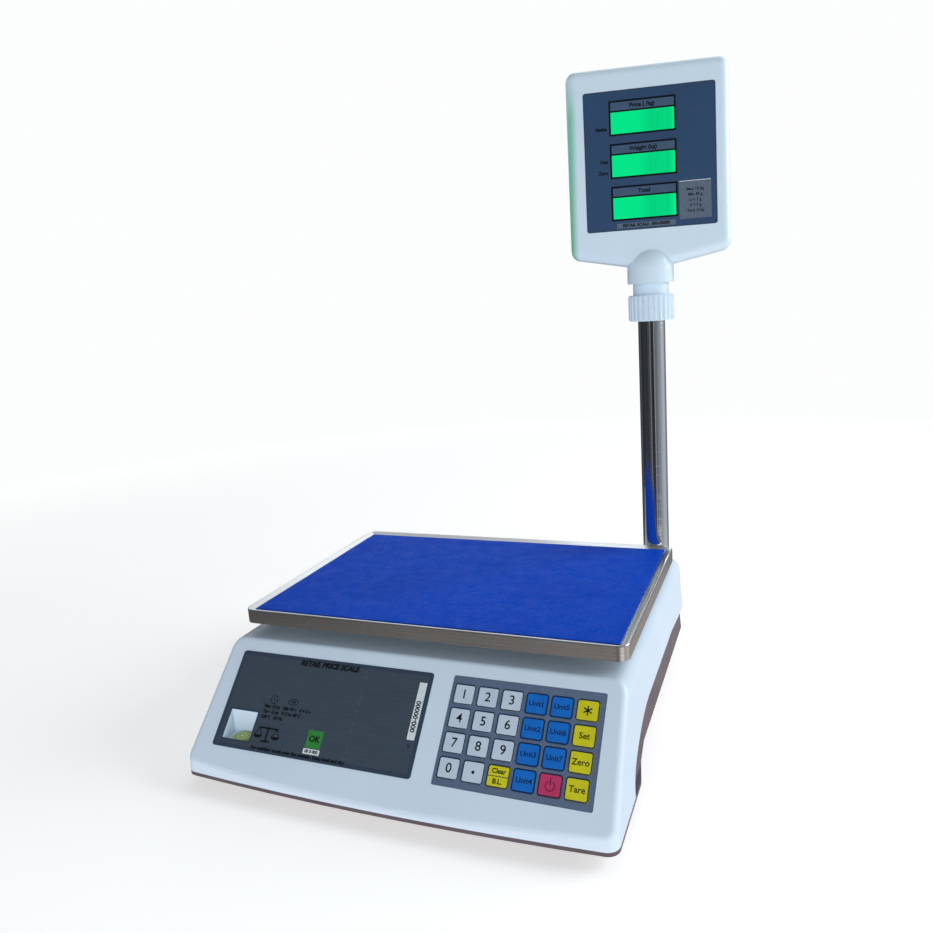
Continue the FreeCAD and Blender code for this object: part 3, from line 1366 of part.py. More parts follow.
def display_lead():
    """The lead clipped along the tray's floor and led up inside the pole, straight runs joined by arcs."""
    pole_x, pole_y = dim("pole_x"), dim("pole_y")
    low = dim("lead_low_z")
    last_x = LEAD_FLOOR_PLACES[-1][0]
    route = [Vector(*LEAD_START, dim("lead_start_z"))]
    route += [Vector(x, y, low) for x, y in LEAD_FLOOR_PLACES]
    route += [Vector(last_x, pole_y, low), Vector(pole_x, pole_y, low)]
    route.append(Vector(pole_x, pole_y, dim("lead_top_z")))
    edges = []
    start = route[0]
    for before, corner, after, radius in zip(route, route[1:], route[2:], LEAD_RADII):
        incoming = (corner - before).normalize()
        outgoing = (after - corner).normalize()
        turn = incoming.getAngle(outgoing)
        setback = radius * math.tan(turn / 2)
        begin = corner - incoming * setback
        end = corner + outgoing * setback
        inward = (outgoing - incoming).normalize()
        centre = corner + inward * (radius / math.cos(turn / 2))
        middle = centre - inward * radius
        edges.append(Part.LineSegment(start, begin).toShape())
        edges.append(Part.Arc(begin, middle, end).toShape())
        start = end
    edges.append(Part.LineSegment(start, route[-1]).toShape())
    path = Part.Wire(edges)
    direction = (route[1] - route[0]).normalize()
    section = Part.Wire([Part.Circle(route[0], direction, dim("lead_radius")).toShape()])
    lead = doc.addObject("Part::Feature", "Lead")
    lead.Shape = path.makePipeShell([section], True, True)
    finish("display_lead", lead)


# ---------------------------------------------------------------------------------------------------------
# display head
# ---------------------------------------------------------------------------------------------------------


def head_block(inset, depth, draft):
    """The head's outline given depth, with rounded corners and a rounded face, all inset alike."""
    body = doc.addObject("PartDesign::Body", "HeadBlock")
    sketch = sketch_on(body, "XY_Plane")
    half, top = number("Dims.head_half_width - %s" % inset), number("Dims.head_top - %s" % inset)
    shoulder, bottom = number("Dims.head_shoulder - %s" % inset), number("Dims.head_bottom - %s" % inset)
    neck = dim("head_neck_half")
    left = [(-half, top), (-half, -shoulder), (-neck, -bottom)]
    right = [(neck, -bottom), (half, -shoulder)]
    corners = [Vector(x, y, 0) for x, y in [(half, top)] + left + right]
    for start, end in zip(corners, corners[1:] + corners[:1]):
        sketch.addGeometry(Part.LineSegment(start, end))
    for i in range(6):
        sketch.addConstraint(Sketcher.Constraint("Coincident", i, 2, (i + 1) % 6, 1))
    for i in (1, 5):
        sketch.addConstraint(Sketcher.Constraint("Vertical", i))
    sketch.addConstraint(Sketcher.Constraint("Symmetric", 0, 1, 0, 2, -2))
    sketch.addConstraint(Sketcher.Constraint("Symmetric", 3, 1, 3, 2, -2))
    sketch.addConstraint(Sketcher.Constraint("Equal", 2, 4))
    bind(sketch, Sketcher.Constraint("DistanceX", -1, 1, 0, 1, half), "Dims.head_half_width - %s" % inset)
    bind(sketch, Sketcher.Constraint("DistanceY", -1, 1, 0, 1, top), "Dims.head_top - %s" % inset)
    bind(sketch, Sketcher.Constraint("DistanceY", 2, 1, -1, 1, shoulder), "Dims.head_shoulder - %s" % inset)
    bind(sketch, Sketcher.Constraint("DistanceY", 3, 1, -1, 1, bottom), "Dims.head_bottom - %s" % inset)
    bind(sketch, Sketcher.Constraint("DistanceX", -1, 1, 3, 2, neck), "Dims.head_neck_half")
    block = pad(body, sketch, depth, draft)
    doc.recompute()

    def fillet_edges(base, radius, wanted):
        feature = body.newObject("PartDesign::Fillet", "Round")
        chosen = ["Edge%d" % (i + 1) for i, edge in enumerate(base.Shape.Edges) if wanted(edge.BoundBox)]
        feature.Base = (base, chosen)
        feature.setExpression("Radius", radius)
        body.Tip = feature
        doc.recompute()
        return feature

    def along_depth(bounds):
        return bounds.ZLength > 1 and abs(bounds.Center.x) > (half + neck) / 2

    def on_face(bounds):
        return bounds.ZMin > block.Shape.BoundBox.ZMax - SLACK

    cornered = fillet_edges(block, "Dims.head_corner - (%s)" % inset, along_depth)
    fillet_edges(cornered, "Dims.head_round - (%s)" % inset, on_face)
    return body


def head_shell_front(inset, extra="0"):
    """The front half's block; inset all round, it is the room inside."""
    depth = "Dims.head_front_depth - (%s) + (%s)" % (inset, extra)
    body = head_block(inset, depth, "")
    return place(body, "0", "0", "-Dims.head_front_depth - (%s)" % extra, HEAD)


def head_shell_rear(inset, extra="0"):
    """The rear half's block, drawn in towards the back; inset all round, it is the room inside."""
    depth = "Dims.head_rear_depth - (%s) + (%s)" % (inset, extra)
    body = head_block(inset, depth, "-Dims.head_rear_draft")
    return place(body, "0", "0", "-Dims.head_front_depth + (%s)" % extra, HEAD, HALF_TURN)


def neck_room():
    """The room that the neck takes in the head's shells."""
    low = "Dims.sleeve_bottom_z"
    shaft = on_pole("Dims.collar_radius + Dims.neck_play", "Dims.crown_z - " + low, low)
    return [shaft, neck_crown("Dims.neck_play")]


def head_posts():
    high, low = "Dims.head_post_high", "-Dims.head_post_low"
    return [("%d * Dims.head_post_x" % i, y) for i in (-1, 1) for y in (high, low)]


def windows():
    return ["(Dims.window_top_y - %d * Dims.window_pitch)" % i for i in range(3)]


def head_cylinder(radius, length, start):
    """One cylinder at each of the head's four posts, along its depth."""
    return [cylinder(radius, length, x, y, start, HEAD) for x, y in head_posts()]


def head_front():
    wall, depth = "Dims.head_wall", "Dims.head_front_depth"
    hollowed = cut(head_shell_front("0"), [head_shell_front(wall, "Dims.past")])
    post_length = depth + " - Dims.head_wall + Dims.past / 2"
    posts = head_cylinder("Dims.head_post_radius", post_length, "-" + depth)
    label_gap = "Dims.display_label_gap"
    openings = [
        plate(
            "Dims.display_label_width + " + label_gap,
            "Dims.display_label_height + " + label_gap,
            "Dims.display_label_thick + Dims.past",
            "Dims.display_label_corner + %s / 2" % label_gap,
            "Dims.display_label_x",
            "0",
            "-Dims.display_label_thick",
            HEAD,
        )
    ]
    margin = "(2 * Dims.lcd_margin + Dims.lcd_gap)"
    width, height = "Dims.window_width + " + margin, "Dims.window_height + " + margin
    through = "2 * Dims.head_wall + Dims.past"
    for y in windows():
        openings.append(box(width, height, through, "Dims.window_x", y, "-2 * Dims.head_wall", HEAD))
    pilot_length = "Dims.head_pilot_depth + Dims.past"
    openings += head_cylinder("Dims.head_pilot", pilot_length, "-%s - Dims.past" % depth)
    openings += neck_room()
    finish("head_front", cut(fuse([hollowed] + posts), openings))


VENTS = 6


def head_rear():
    wall = "Dims.head_wall"
    hollowed = cut(head_shell_rear("0"), [head_shell_rear(wall, "Dims.past")])
    back = "-Dims.head_front_depth - Dims.head_rear_depth"
    post_length = "Dims.head_rear_depth - Dims.past"
    posts = head_cylinder("Dims.head_rear_post_radius", post_length, back + " + Dims.past")
    openings = head_cylinder("Dims.head_screw_hole", HUGE, back + " - Dims.past")
    openings += head_cylinder("Dims.head_well", HUGE, "-Dims.head_screw_seat - " + HUGE)
    for i in range(VENTS):
        up = "Dims.vent_low_y + %d * Dims.vent_pitch" % i
        vent_depth = "2 * (Dims.head_wall + Dims.past)"
        vent_low = back + " - Dims.past"
        openings.append(box("Dims.vent_length", "Dims.vent_width", vent_depth, "0", up, vent_low, HEAD))
    openings += neck_room()
    finish("head_rear", cut(fuse([hollowed] + posts), openings))


def head_screws():
    seat, cap_height = "-Dims.head_screw_seat", "Dims.head_cap_height"
    cap_low = "%s - %s" % (seat, cap_height)
    length, width, depth = "Dims.cross_length", "Dims.cross_width", "Dims.cross_depth"
    screws = []
    for x, y in head_posts():
        shank = cylinder("Dims.head_screw_radius", "Dims.head_screw_length", x, y, seat, HEAD)
        cap = cylinder("Dims.head_cap_radius", cap_height, x, y, cap_low, HEAD)
        cross = [
            box(length, width, depth, x, y, cap_low, HEAD),
            box(width, length, depth, x, y, cap_low, HEAD),
        ]
        screws.append(cut(fuse([shank, cap]), cross))
    finish("head_screws", group(screws))


def window_plates(grown, thick, corner, low):
    """A plate at each display window, grown all round by the given margin."""
    width = "Dims.window_width + 2 * (%s)" % grown
    height = "Dims.window_height + 2 * (%s)" % grown
    return [plate(width, height, thick, corner, "Dims.window_x", y, low, HEAD) for y in windows()]


def display_label():
    width, height = "Dims.display_label_width", "Dims.display_label_height"
    thick, corner = "Dims.display_label_thick", "Dims.display_label_corner"
    face = plate(width, height, thick, corner, "Dims.display_label_x", "0", "-" + thick, HEAD)
    through = thick + " + 2 * Dims.past"
    cuts = window_plates("0", through, "Dims.window_corner", "-%s - Dims.past" % thick)
    finish("display_label", cut(face, cuts))


def lcd_panels():
    low = "-Dims.display_label_thick - Dims.lcd_sink - Dims.lcd_thick"
    finish("lcd_panels", group(window_plates("Dims.lcd_margin", "Dims.lcd_thick", "Dims.lcd_corner", low)))


def display_board():
    thick = "Dims.board_thick"
    front = "(-Dims.display_label_thick - Dims.lcd_thick - Dims.lcd_gap)"
    back = "(%s - %s)" % (front, thick)
    width, height = "Dims.display_board_width", "Dims.display_board_height"
    board = plate(width, height, thick, "Dims.board_corner", "0", "0", back, HEAD)
    chips = [
        box(across, along, "%s + Dims.solder" % rise, dx, dy, "%s - %s" % (back, rise), HEAD)
        for across, along, rise, dx, dy in DISPLAY_CHIPS
    ]
    finish("display_board", fuse([board] + chips))


BUILDERS = [
    top_housing, bottom_tray, housing_screws, levelling_feet,
    weighing_pan, pan_film, pan_support, pan_bumpers, load_cell, cell_bolts, overload_stop,
    front_label, bubble_level, keypad_overlay, keys, keypad_board,
    main_board, mains_transformer, battery, battery_strap, mains_inlet, power_switch, power_rocker,
    pole, pole_socket, swivel_neck, clamp_nut, display_lead,
    head_front, head_rear, head_screws, display_label, lcd_panels, display_board,
]


def check():
    """Stop before anything is written if a feature failed or a sub-part isn't sound."""
    for thing in doc.Objects:
        if "Invalid" in thing.State or "Error" in thing.State:
            raise RuntimeError("%s (%s): %s" % (thing.Name, thing.Label, thing.getStatusString()))
    for thing in sub_parts:
        if thing.Shape.isNull() or not thing.Shape.isValid() or not thing.Shape.Solids:
            raise RuntimeError("%s has no sound shape" % thing.Label)


for build in BUILDERS:
    build()
doc.recompute()
check()
os.makedirs("parts", exist_ok=True)
for thing in sub_parts:
    thing.Shape.exportStep("parts/%s.step" % thing.Label)
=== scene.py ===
"""Looks of a retail price scale: camera, light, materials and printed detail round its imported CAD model.

Lengths are in metres, or in millimetres times MM. The frame is the row's: +Z up, -Y towards the person at
the keypad. Every place is worked out from the CAD nodes that a piece lies on.
"""

import json
import math

import bmesh
import bpy
from mathutils import Matrix, Vector, noise


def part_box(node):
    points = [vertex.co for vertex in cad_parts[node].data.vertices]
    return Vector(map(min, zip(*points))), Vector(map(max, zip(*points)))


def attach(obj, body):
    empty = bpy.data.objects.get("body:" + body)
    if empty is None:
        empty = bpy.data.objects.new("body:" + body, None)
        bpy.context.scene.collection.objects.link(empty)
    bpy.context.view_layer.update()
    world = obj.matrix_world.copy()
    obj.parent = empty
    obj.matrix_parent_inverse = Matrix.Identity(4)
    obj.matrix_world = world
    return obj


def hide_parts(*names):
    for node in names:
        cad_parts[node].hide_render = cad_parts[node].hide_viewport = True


MM = 0.001
INK = 0.04 * MM
STICKER = 0.09 * MM

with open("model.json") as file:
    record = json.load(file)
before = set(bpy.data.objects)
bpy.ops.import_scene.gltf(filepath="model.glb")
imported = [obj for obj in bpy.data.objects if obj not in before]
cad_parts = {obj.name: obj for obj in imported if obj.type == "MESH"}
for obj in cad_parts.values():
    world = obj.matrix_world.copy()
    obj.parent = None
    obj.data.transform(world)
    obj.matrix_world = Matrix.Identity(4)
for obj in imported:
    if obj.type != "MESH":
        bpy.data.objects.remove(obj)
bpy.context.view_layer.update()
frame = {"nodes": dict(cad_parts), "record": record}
nodes = frame["nodes"]
body_of_node = {node: body for body, held in frame["record"]["behaviour"]["bodies"].items() for node in held}


# ----------------------------------------------------------------------------------------------------------
# materials
# ----------------------------------------------------------------------------------------------------------


def srgb(red, green, blue):
    """A colour given as 0 to 255 in sRGB, as the linear values that a shader takes."""

    def linear(value):
        share = value / 255
        return share / 12.92 if share <= 0.04045 else ((share + 0.055) / 1.055) ** 2.4

    return (linear(red), linear(green), linear(blue), 1.0)


class Finish:
    """A material built from procedural nodes, read in the object's own coordinates."""

    def __init__(self, name, colour, roughness, metallic=0.0, coat=0.0, coat_roughness=0.08, **settings):
        self.material = bpy.data.materials.new(name)
        self.material.use_nodes = True
        self.tree = self.material.node_tree
        self.shader = self.tree.nodes["Principled BSDF"]
        self.set("Base Color", colour)
        self.set("Roughness", roughness)
        self.set("Metallic", metallic)
        self.set("Coat Weight", coat)
        self.set("Coat Roughness", coat_roughness)
        for label, value in settings.items():
            self.set(label.replace("_", " "), value)
        self.colour = None
        self.colour_start = colour
        self.normal = None
        self.place = self.tree.nodes.new("ShaderNodeTexCoord").outputs["Object"]

    def set(self, label, value):
        self.shader.inputs[label].default_value = value

    def link(self, output, target):
        self.tree.links.new(output, target)
        return output

    def stretched(self, stretch):
        """The object's coordinates, scaled along each axis."""
        if stretch is None:
            return self.place
        mapping = self.tree.nodes.new("ShaderNodeMapping")
        mapping.inputs["Scale"].default_value = stretch
        self.link(self.place, mapping.inputs["Vector"])
        return mapping.outputs["Vector"]

    def noise(self, scale, detail=3.0, stretch=None, distortion=0.0):
        texture = self.tree.nodes.new("ShaderNodeTexNoise")
        texture.inputs["Scale"].default_value = scale
        texture.inputs["Detail"].default_value = detail
        texture.inputs["Distortion"].default_value = distortion
        self.link(self.stretched(stretch), texture.inputs["Vector"])
        return texture.outputs["Fac"]

    def mapped(self, value, low, high, to_low=0.0, to_high=1.0):
        ranged = self.tree.nodes.new("ShaderNodeMapRange")
        for label, number in zip(("From Min", "From Max", "To Min", "To Max"), (low, high, to_low, to_high)):
            ranged.inputs[label].default_value = number
        self.link(value, ranged.inputs["Value"])
        return ranged.outputs["Result"]

    def math(self, operation, first, second=None, third=None):
        step = self.tree.nodes.new("ShaderNodeMath")
        step.operation = operation
        for slot, value in zip(step.inputs, (first, second, third)):
            if value is None:
                continue
            if isinstance(value, (int, float)):
                slot.default_value = value
            else:
                self.link(value, slot)
        return step.outputs["Value"]

    def axis(self, letter):
        """One coordinate of the object's own frame."""
        split = self.tree.nodes.new("ShaderNodeSeparateXYZ")
        self.link(self.place, split.inputs["Vector"])
        return split.outputs[letter]

    def tint(self, other, share):
        """Blend the colour so far towards another one, by a share that is itself a node's output."""
        mix = self.tree.nodes.new("ShaderNodeMix")
        mix.data_type = "RGBA"
        self.link(share, mix.inputs["Factor"])
        if self.colour is None:
            mix.inputs["A"].default_value = self.colour_start
        else:
            self.link(self.colour, mix.inputs["A"])
        mix.inputs["B"].default_value = other
        self.colour = self.link(mix.outputs["Result"], self.shader.inputs["Base Color"])
        return self

    def mottle(self, other, scale, low=0.35, high=0.65, strength=1.0, **how):
        return self.tint(other, self.mapped(self.noise(scale, **how), low, high, 0.0, strength))

    def sheen_patches(self, low, high, scale, **how):
        """Roughness that wanders between two values."""
        value = self.mapped(self.noise(scale, **how), 0.3, 0.7, low, high)
        self.link(value, self.shader.inputs["Roughness"])
        return self

    def bump(self, scale, height, strength=1.0, **how):
        return self.bump_from(self.noise(scale, **how), height, strength)

    def bump_from(self, value, height, strength=1.0):
        step = self.tree.nodes.new("ShaderNodeBump")
        step.inputs["Strength"].default_value = strength
        step.inputs["Distance"].default_value = height
        self.link(value, step.inputs["Height"])
        if self.normal is not None:
            self.link(self.normal, step.inputs["Normal"])
        self.normal = self.link(step.outputs["Normal"], self.shader.inputs["Normal"])
        return self

    def glow(self, colour, strength):
        self.set("Emission Color", colour)
        self.set("Emission Strength", strength)
        return self


def moulded(name, colour, dusty, roughness=0.34):
    """Moulded ABS: a fine spark texture, slow changes of gloss and a little dust."""
    finish = Finish(name, colour, roughness, Specular_IOR_Level=0.45)
    finish.mottle(dusty, 9.0, strength=0.2)
    finish.mottle(dusty, 60.0, 0.45, 0.8, 0.12)
    finish.sheen_patches(roughness - 0.03, roughness + 0.05, 14.0)
    finish.bump(1500.0, 0.03 * MM, 0.35, detail=1.0)
    finish.bump(45.0, 0.04 * MM, 0.2)
    return finish


def housing_white():
    return moulded("housing_white", srgb(222, 232, 245), srgb(210, 221, 235)).material


def head_white():
    return moulded("head_white", srgb(218, 232, 243), srgb(206, 222, 233), 0.30).material


# where the head's left shoulder lies, in from its edge, and the heights below its top where the painted green
# reflection fades
SHOULDER = 7 * MM
GREEN_REFLECTION_FULL = 42 * MM
GREEN_REFLECTION_FAINT = 12 * MM


def head_front_painted_reflection():
    """The head's front shell: a painted green reflection, the green of the cells, lies on its left shoulder.
    """
    finish = moulded("head_front_painted_reflection", srgb(218, 232, 243), srgb(206, 222, 233), 0.30)
    low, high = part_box("head_front")
    aside = finish.math("ABSOLUTE", finish.math("SUBTRACT", finish.axis("X"), low.x + SHOULDER))
    beside = finish.mapped(aside, 1 * MM, 6.5 * MM, 0.75, 0.0)
    upward = finish.mapped(finish.axis("Z"), high.z - GREEN_REFLECTION_FULL, high.z - GREEN_REFLECTION_FAINT, 1.0, 0.15)
    # painted reflection: a green tint on the left shoulder, fading away from the shoulder and towards the top
    return finish.tint(srgb(96, 206, 150), finish.math("MULTIPLY", beside, upward)).material


def tray_dark():
    finish = Finish("tray_dark", srgb(98, 82, 88), 0.5)
    finish.mottle(srgb(114, 98, 104), 25.0, strength=0.6)
    finish.sheen_patches(0.42, 0.62, 30.0)
    finish.bump(1100.0, 0.06 * MM, 0.6, detail=2.0)
    return finish.material


def brushed(name, colour, other, roughness, stretch, depth=0.012 * MM):
    """Rolled or brushed metal: long fine lines, faint stains and finger marks."""
    finish = Finish(name, colour, roughness, 1.0)
    finish.mottle(other, 1.0, 0.3, 0.7, 0.35, stretch=stretch, detail=4.0)
    finish.mottle(other, 14.0, 0.45, 0.75, 0.35, detail=4.0)
    finish.sheen_patches(roughness - 0.08, roughness + 0.1, 1.0, stretch=stretch, detail=3.0)
    finish.bump(1.0, depth, 0.5, stretch=stretch, detail=3.0)
    return finish.material


def pan_steel():
    lines = (10.0, 10.0, 1500.0)
    return brushed("pan_steel", srgb(200, 199, 198), srgb(178, 175, 172), 0.22, lines, 0.002 * MM)


def zinc():
    return brushed("zinc", srgb(188, 188, 184), srgb(150, 148, 140), 0.3, (700.0, 700.0, 700.0))


def cast_metal():
    finish = Finish("cast_metal", srgb(178, 180, 182), 0.42, 1.0)
    finish.mottle(srgb(140, 142, 146), 40.0, strength=0.6, detail=5.0)
    finish.sheen_patches(0.34, 0.55, 25.0)
    finish.bump(700.0, 0.06 * MM, 0.6, detail=4.0)
    return finish.material


def chrome():
    """Plated tube: nearly a mirror, with faint drawing lines along it and the odd smear."""
    finish = Finish("chrome", srgb(224, 226, 230), 0.05, 1.0)
    finish.mottle(srgb(190, 194, 200), 1.0, 0.4, 0.7, 0.5, stretch=(900.0, 900.0, 9.0))
    finish.sheen_patches(0.035, 0.12, 1.0, stretch=(500.0, 500.0, 6.0), detail=3.0)
    finish.bump(1.0, 0.004 * MM, 0.3, stretch=(1200.0, 1200.0, 12.0))
    finish.bump(1.0, 0.03 * MM, 1.0, stretch=(12.0, 12.0, 3200.0), detail=0.0)
    return finish.material


# the faint ring under the film: its middle as a share of the sheet, its radius and half its width
RING_MIDDLE = (0.73, 0.62)
RING_RADIUS = 62 * MM
RING_SPREAD = 4 * MM


def blue_film():
    """Shipping film: blue polythene, a little wavy and cloudy where air lies under it."""
    finish = Finish("blue_film", srgb(9, 74, 202), 0.5, Specular_IOR_Level=0.04)
    finish.mottle(srgb(14, 88, 222), 260.0, 0.4, 0.62, 0.6, detail=4.0)
    finish.mottle(srgb(6, 66, 192), 11.0, 0.4, 0.7, 0.5, detail=3.0)
    low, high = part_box("pan_film")
    middle_x = low.x + RING_MIDDLE[0] * (high.x - low.x)
    middle_y = low.y + RING_MIDDLE[1] * (high.y - low.y)
    along = finish.math("SUBTRACT", finish.axis("X"), middle_x)
    across = finish.math("SUBTRACT", finish.axis("Y"), middle_y)
    square = finish.math("ADD", finish.math("POWER", along, 2.0), finish.math("POWER", across, 2.0))
    distance = finish.math("ABSOLUTE", finish.math("SUBTRACT", finish.math("SQRT", square), RING_RADIUS))
    finish.tint(srgb(10, 70, 196), finish.mapped(distance, 0.0, RING_SPREAD, 0.5, 0.0))
    finish.sheen_patches(0.42, 0.6, 70.0)
    finish.bump(700.0, 0.05 * MM, 0.6, detail=3.0)
    finish.bump(55.0, 0.12 * MM, 0.35, detail=2.0)
    return finish.material


def printed(name, colour, other, roughness=0.38, weave=0.0):
    """Printed polycarbonate film: fine even grain under a satin lacquer."""
    finish = Finish(name, colour, roughness, coat=0.1, coat_roughness=0.25, Specular_IOR_Level=0.35)
    finish.mottle(other, 750.0, 0.38, 0.62, 0.55, detail=2.0)
    finish.mottle(other, 18.0, 0.35, 0.75, 0.5, detail=3.0)
    if weave:
        finish.mottle(other, 1.0, 0.4, 0.6, weave, stretch=(40.0, 2600.0, 2600.0), detail=2.0)
    finish.sheen_patches(roughness - 0.06, roughness + 0.1, 40.0)
    finish.bump(1600.0, 0.02 * MM, 0.4, detail=1.0)
    return finish.material


def key_face(name, colour, other):
    """A membrane key: embossed film with a fine grain and a slightly uneven tone."""
    finish = Finish(name, colour, 0.42, coat=0.15, coat_roughness=0.3)
    finish.mottle(other, 110.0, 0.4, 0.7, 0.5, detail=3.0)
    finish.mottle(other, 900.0, 0.4, 0.6, 0.25, detail=1.0)
    finish.sheen_patches(0.34, 0.5, 90.0)
    finish.bump(1500.0, 0.02 * MM, 0.5, detail=1.0)
    return finish.material


def rubber():
    finish = Finish("rubber", srgb(30, 30, 31), 0.75)
    finish.mottle(srgb(52, 50, 48), 160.0, 0.45, 0.75, 0.6, detail=4.0)
    finish.bump(800.0, 0.08 * MM, 0.7, detail=3.0)
    return finish.material


def black_plastic(name="black_plastic", roughness=0.3):
    finish = Finish(name, srgb(22, 22, 24), roughness)
    finish.mottle(srgb(36, 36, 38), 70.0, 0.45, 0.75, 0.5)
    finish.sheen_patches(roughness - 0.06, roughness + 0.12, 45.0)
    finish.bump(1400.0, 0.03 * MM, 0.5, detail=1.0)
    return finish.material


def circuit_board():
    finish = Finish("circuit_board", srgb(14, 92, 48), 0.3, coat=0.5)
    finish.mottle(srgb(8, 60, 34), 130.0, 0.45, 0.55, 0.8, detail=2.0)
    finish.mottle(srgb(170, 150, 80), 420.0, 0.68, 0.72, 0.7, detail=1.0)
    finish.bump(420.0, 0.05 * MM, 0.4)
    return finish.material


def dark_case(name, colour, other):
    finish = Finish(name, colour, 0.55)
    finish.mottle(other, 60.0, strength=0.6)
    finish.bump(900.0, 0.05 * MM, 0.6, detail=2.0)
    return finish.material


def lit_glass():
    """The display cells: a green backlight, dimmer and streaky to the right and brightest at its lamp."""
    finish = Finish("lit_glass", srgb(0, 40, 22), 0.12, Specular_IOR_Level=0.12)
    finish.glow(srgb(0, 222, 132), 1.0)
    low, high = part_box("lcd_panels")
    along = finish.mapped(finish.axis("X"), low.x, high.x)
    dim = finish.math("MULTIPLY", finish.mapped(along, 0.42, 0.6), -0.17)
    lamp = finish.math("POWER", finish.mapped(along, 0.84, 1.0), 2.0)
    waver = finish.mapped(finish.noise(1.0, detail=2.0, stretch=(1500.0, 60.0, 3.0)), 0.3, 0.7, -0.06, 0.06)
    streaks = finish.math("MULTIPLY", waver, finish.mapped(along, 0.42, 0.6, 0.12, 1.0))
    power = finish.math("ADD", finish.math("ADD", dim, 1.04), finish.math("MULTIPLY_ADD", lamp, 0.6, streaks))
    finish.link(power, finish.shader.inputs["Emission Strength"])
    return finish.material


def vial_liquid():
    finish = Finish("vial_liquid", srgb(178, 194, 72), 0.08, coat=0.8, coat_roughness=0.02)
    finish.mottle(srgb(160, 186, 50), 90.0, strength=0.7)
    finish.set("Subsurface Weight", 0.3)
    finish.set("Subsurface Radius", (0.004, 0.004, 0.001))
    # painted glow: the level's liquid gives off a faint yellow-green light of its own
    finish.glow(srgb(170, 200, 30), 0.05)
    return finish.material


MATERIALS = {
    "housing_plastic": housing_white(),
    "head_plastic": head_white(),
    "tray_plastic": tray_dark(),
    "pan_steel": pan_steel(),
    "protective_film": blue_film(),
    "front_label_face": printed("label_slate", srgb(72, 83, 96), srgb(58, 69, 81), weave=0.8),
    "display_label_face": printed("label_blue_slate", srgb(50, 76, 108), srgb(42, 66, 97)),
    "keypad_face": printed("keypad_slate", srgb(104, 118, 142), srgb(84, 97, 120)),
    "key_light": key_face("key_light", srgb(206, 216, 230), srgb(190, 200, 216)),
    "key_blue": key_face("key_blue", srgb(8, 112, 206), srgb(2, 92, 180)),
    "key_yellow": key_face("key_yellow", srgb(222, 212, 28), srgb(196, 186, 20)),
    "key_magenta": key_face("key_magenta", srgb(204, 58, 106), srgb(178, 44, 88)),
    "chrome_tube": chrome(),
    "lcd_glass": lit_glass(),
    "vial": vial_liquid(),
    "foot_rubber": rubber(),
    "circuit_board": circuit_board(),
    "zinc_steel": zinc(),
    "cast_aluminium": cast_metal(),
    "battery_case": dark_case("battery_case", srgb(52, 52, 56), srgb(72, 72, 76)),
    "transformer_iron": dark_case("transformer_iron", srgb(58, 54, 50), srgb(92, 72, 48)),
    "black_plastic": black_plastic(),
    "rocker_plastic": black_plastic("rocker_black", 0.2),
    "lead_jacket": dark_case("lead_jacket", srgb(104, 104, 108), srgb(84, 84, 88)),
}


def flat_ink(name, colour, other, roughness=0.45):
    """Screen-printed ink or a paper sticker: slightly uneven cover."""
    finish = Finish(name, colour, roughness, Specular_IOR_Level=0.25)
    finish.mottle(other, 420.0, 0.4, 0.66, 0.5, detail=3.0)
    finish.bump(1200.0, 0.01 * MM, 0.5, detail=1.0)
    return finish.material


INK_BLACK = flat_ink("ink_black", srgb(8, 9, 12), srgb(16, 18, 22))
INK_NAVY = flat_ink("ink_navy", srgb(18, 38, 66), srgb(28, 50, 80))
INK_OLIVE = flat_ink("ink_olive", srgb(40, 38, 14), srgb(60, 56, 20))
INK_BORDER = flat_ink("ink_border", srgb(58, 70, 88), srgb(50, 61, 78))
INK_HEADER = flat_ink("ink_header", srgb(72, 92, 118), srgb(62, 80, 104))
INK_SCRATCH = flat_ink("ink_scratch", srgb(112, 122, 132), srgb(98, 108, 118))
INK_DARK_RED = flat_ink("ink_dark_red", srgb(86, 14, 34), srgb(104, 22, 44))
INK_WHITE = flat_ink("ink_white", srgb(224, 228, 230), srgb(206, 210, 214))
PAPER_WHITE = flat_ink("paper_white", srgb(226, 232, 234), srgb(210, 216, 220), 0.55)
PAPER_GREEN = flat_ink("paper_green", srgb(58, 140, 66), srgb(46, 120, 54), 0.5)
PAPER_GREY = flat_ink("paper_grey", srgb(92, 104, 120), srgb(106, 118, 132), 0.35)


def dress_nodes():
    """Each CAD node takes the material of its slot in the record."""
    for part in frame["record"]["subparts"]:
        mesh = nodes[part["node"]].data
        mesh.materials.clear()
        mesh.materials.append(MATERIALS[part["material_slot"]])
    nodes["head_front"].data.materials[0] = head_front_painted_reflection()


# ----------------------------------------------------------------------------------------------------------
# printed detail
# ----------------------------------------------------------------------------------------------------------


class Face:
    """A flat CAD plate's outer face: a frame at its middle, x across, y up the face and z outward."""

    def __init__(self, node, towards=(0.0, -1.0, 0.0), least=0.5):
        mesh = nodes[node].data
        areas = {}
        for polygon in mesh.polygons:
            if polygon.normal.dot(Vector(towards)) > least:
                key = tuple(round(part, 3) for part in polygon.normal)
                areas[key] = areas.get(key, 0.0) + polygon.area
        outward = Vector(max(areas, key=areas.get)).normalized()
        across = Vector((0.0, 0.0, 1.0)).cross(outward).normalized()
        up = outward.cross(across)
        to_face = Matrix((across, up, outward))
        points = [to_face @ vertex.co for vertex in mesh.vertices]
        low = Vector([min(values) for values in zip(*points)])
        high = Vector([max(values) for values in zip(*points)])
        self.half_width = (high.x - low.x) / 2
        self.half_height = (high.y - low.y) / 2
        middle = Vector(((low.x + high.x) / 2, (low.y + high.y) / 2, high.z))
        turn = to_face.transposed()
        self.matrix = Matrix.Translation(turn @ middle) @ turn.to_4x4()


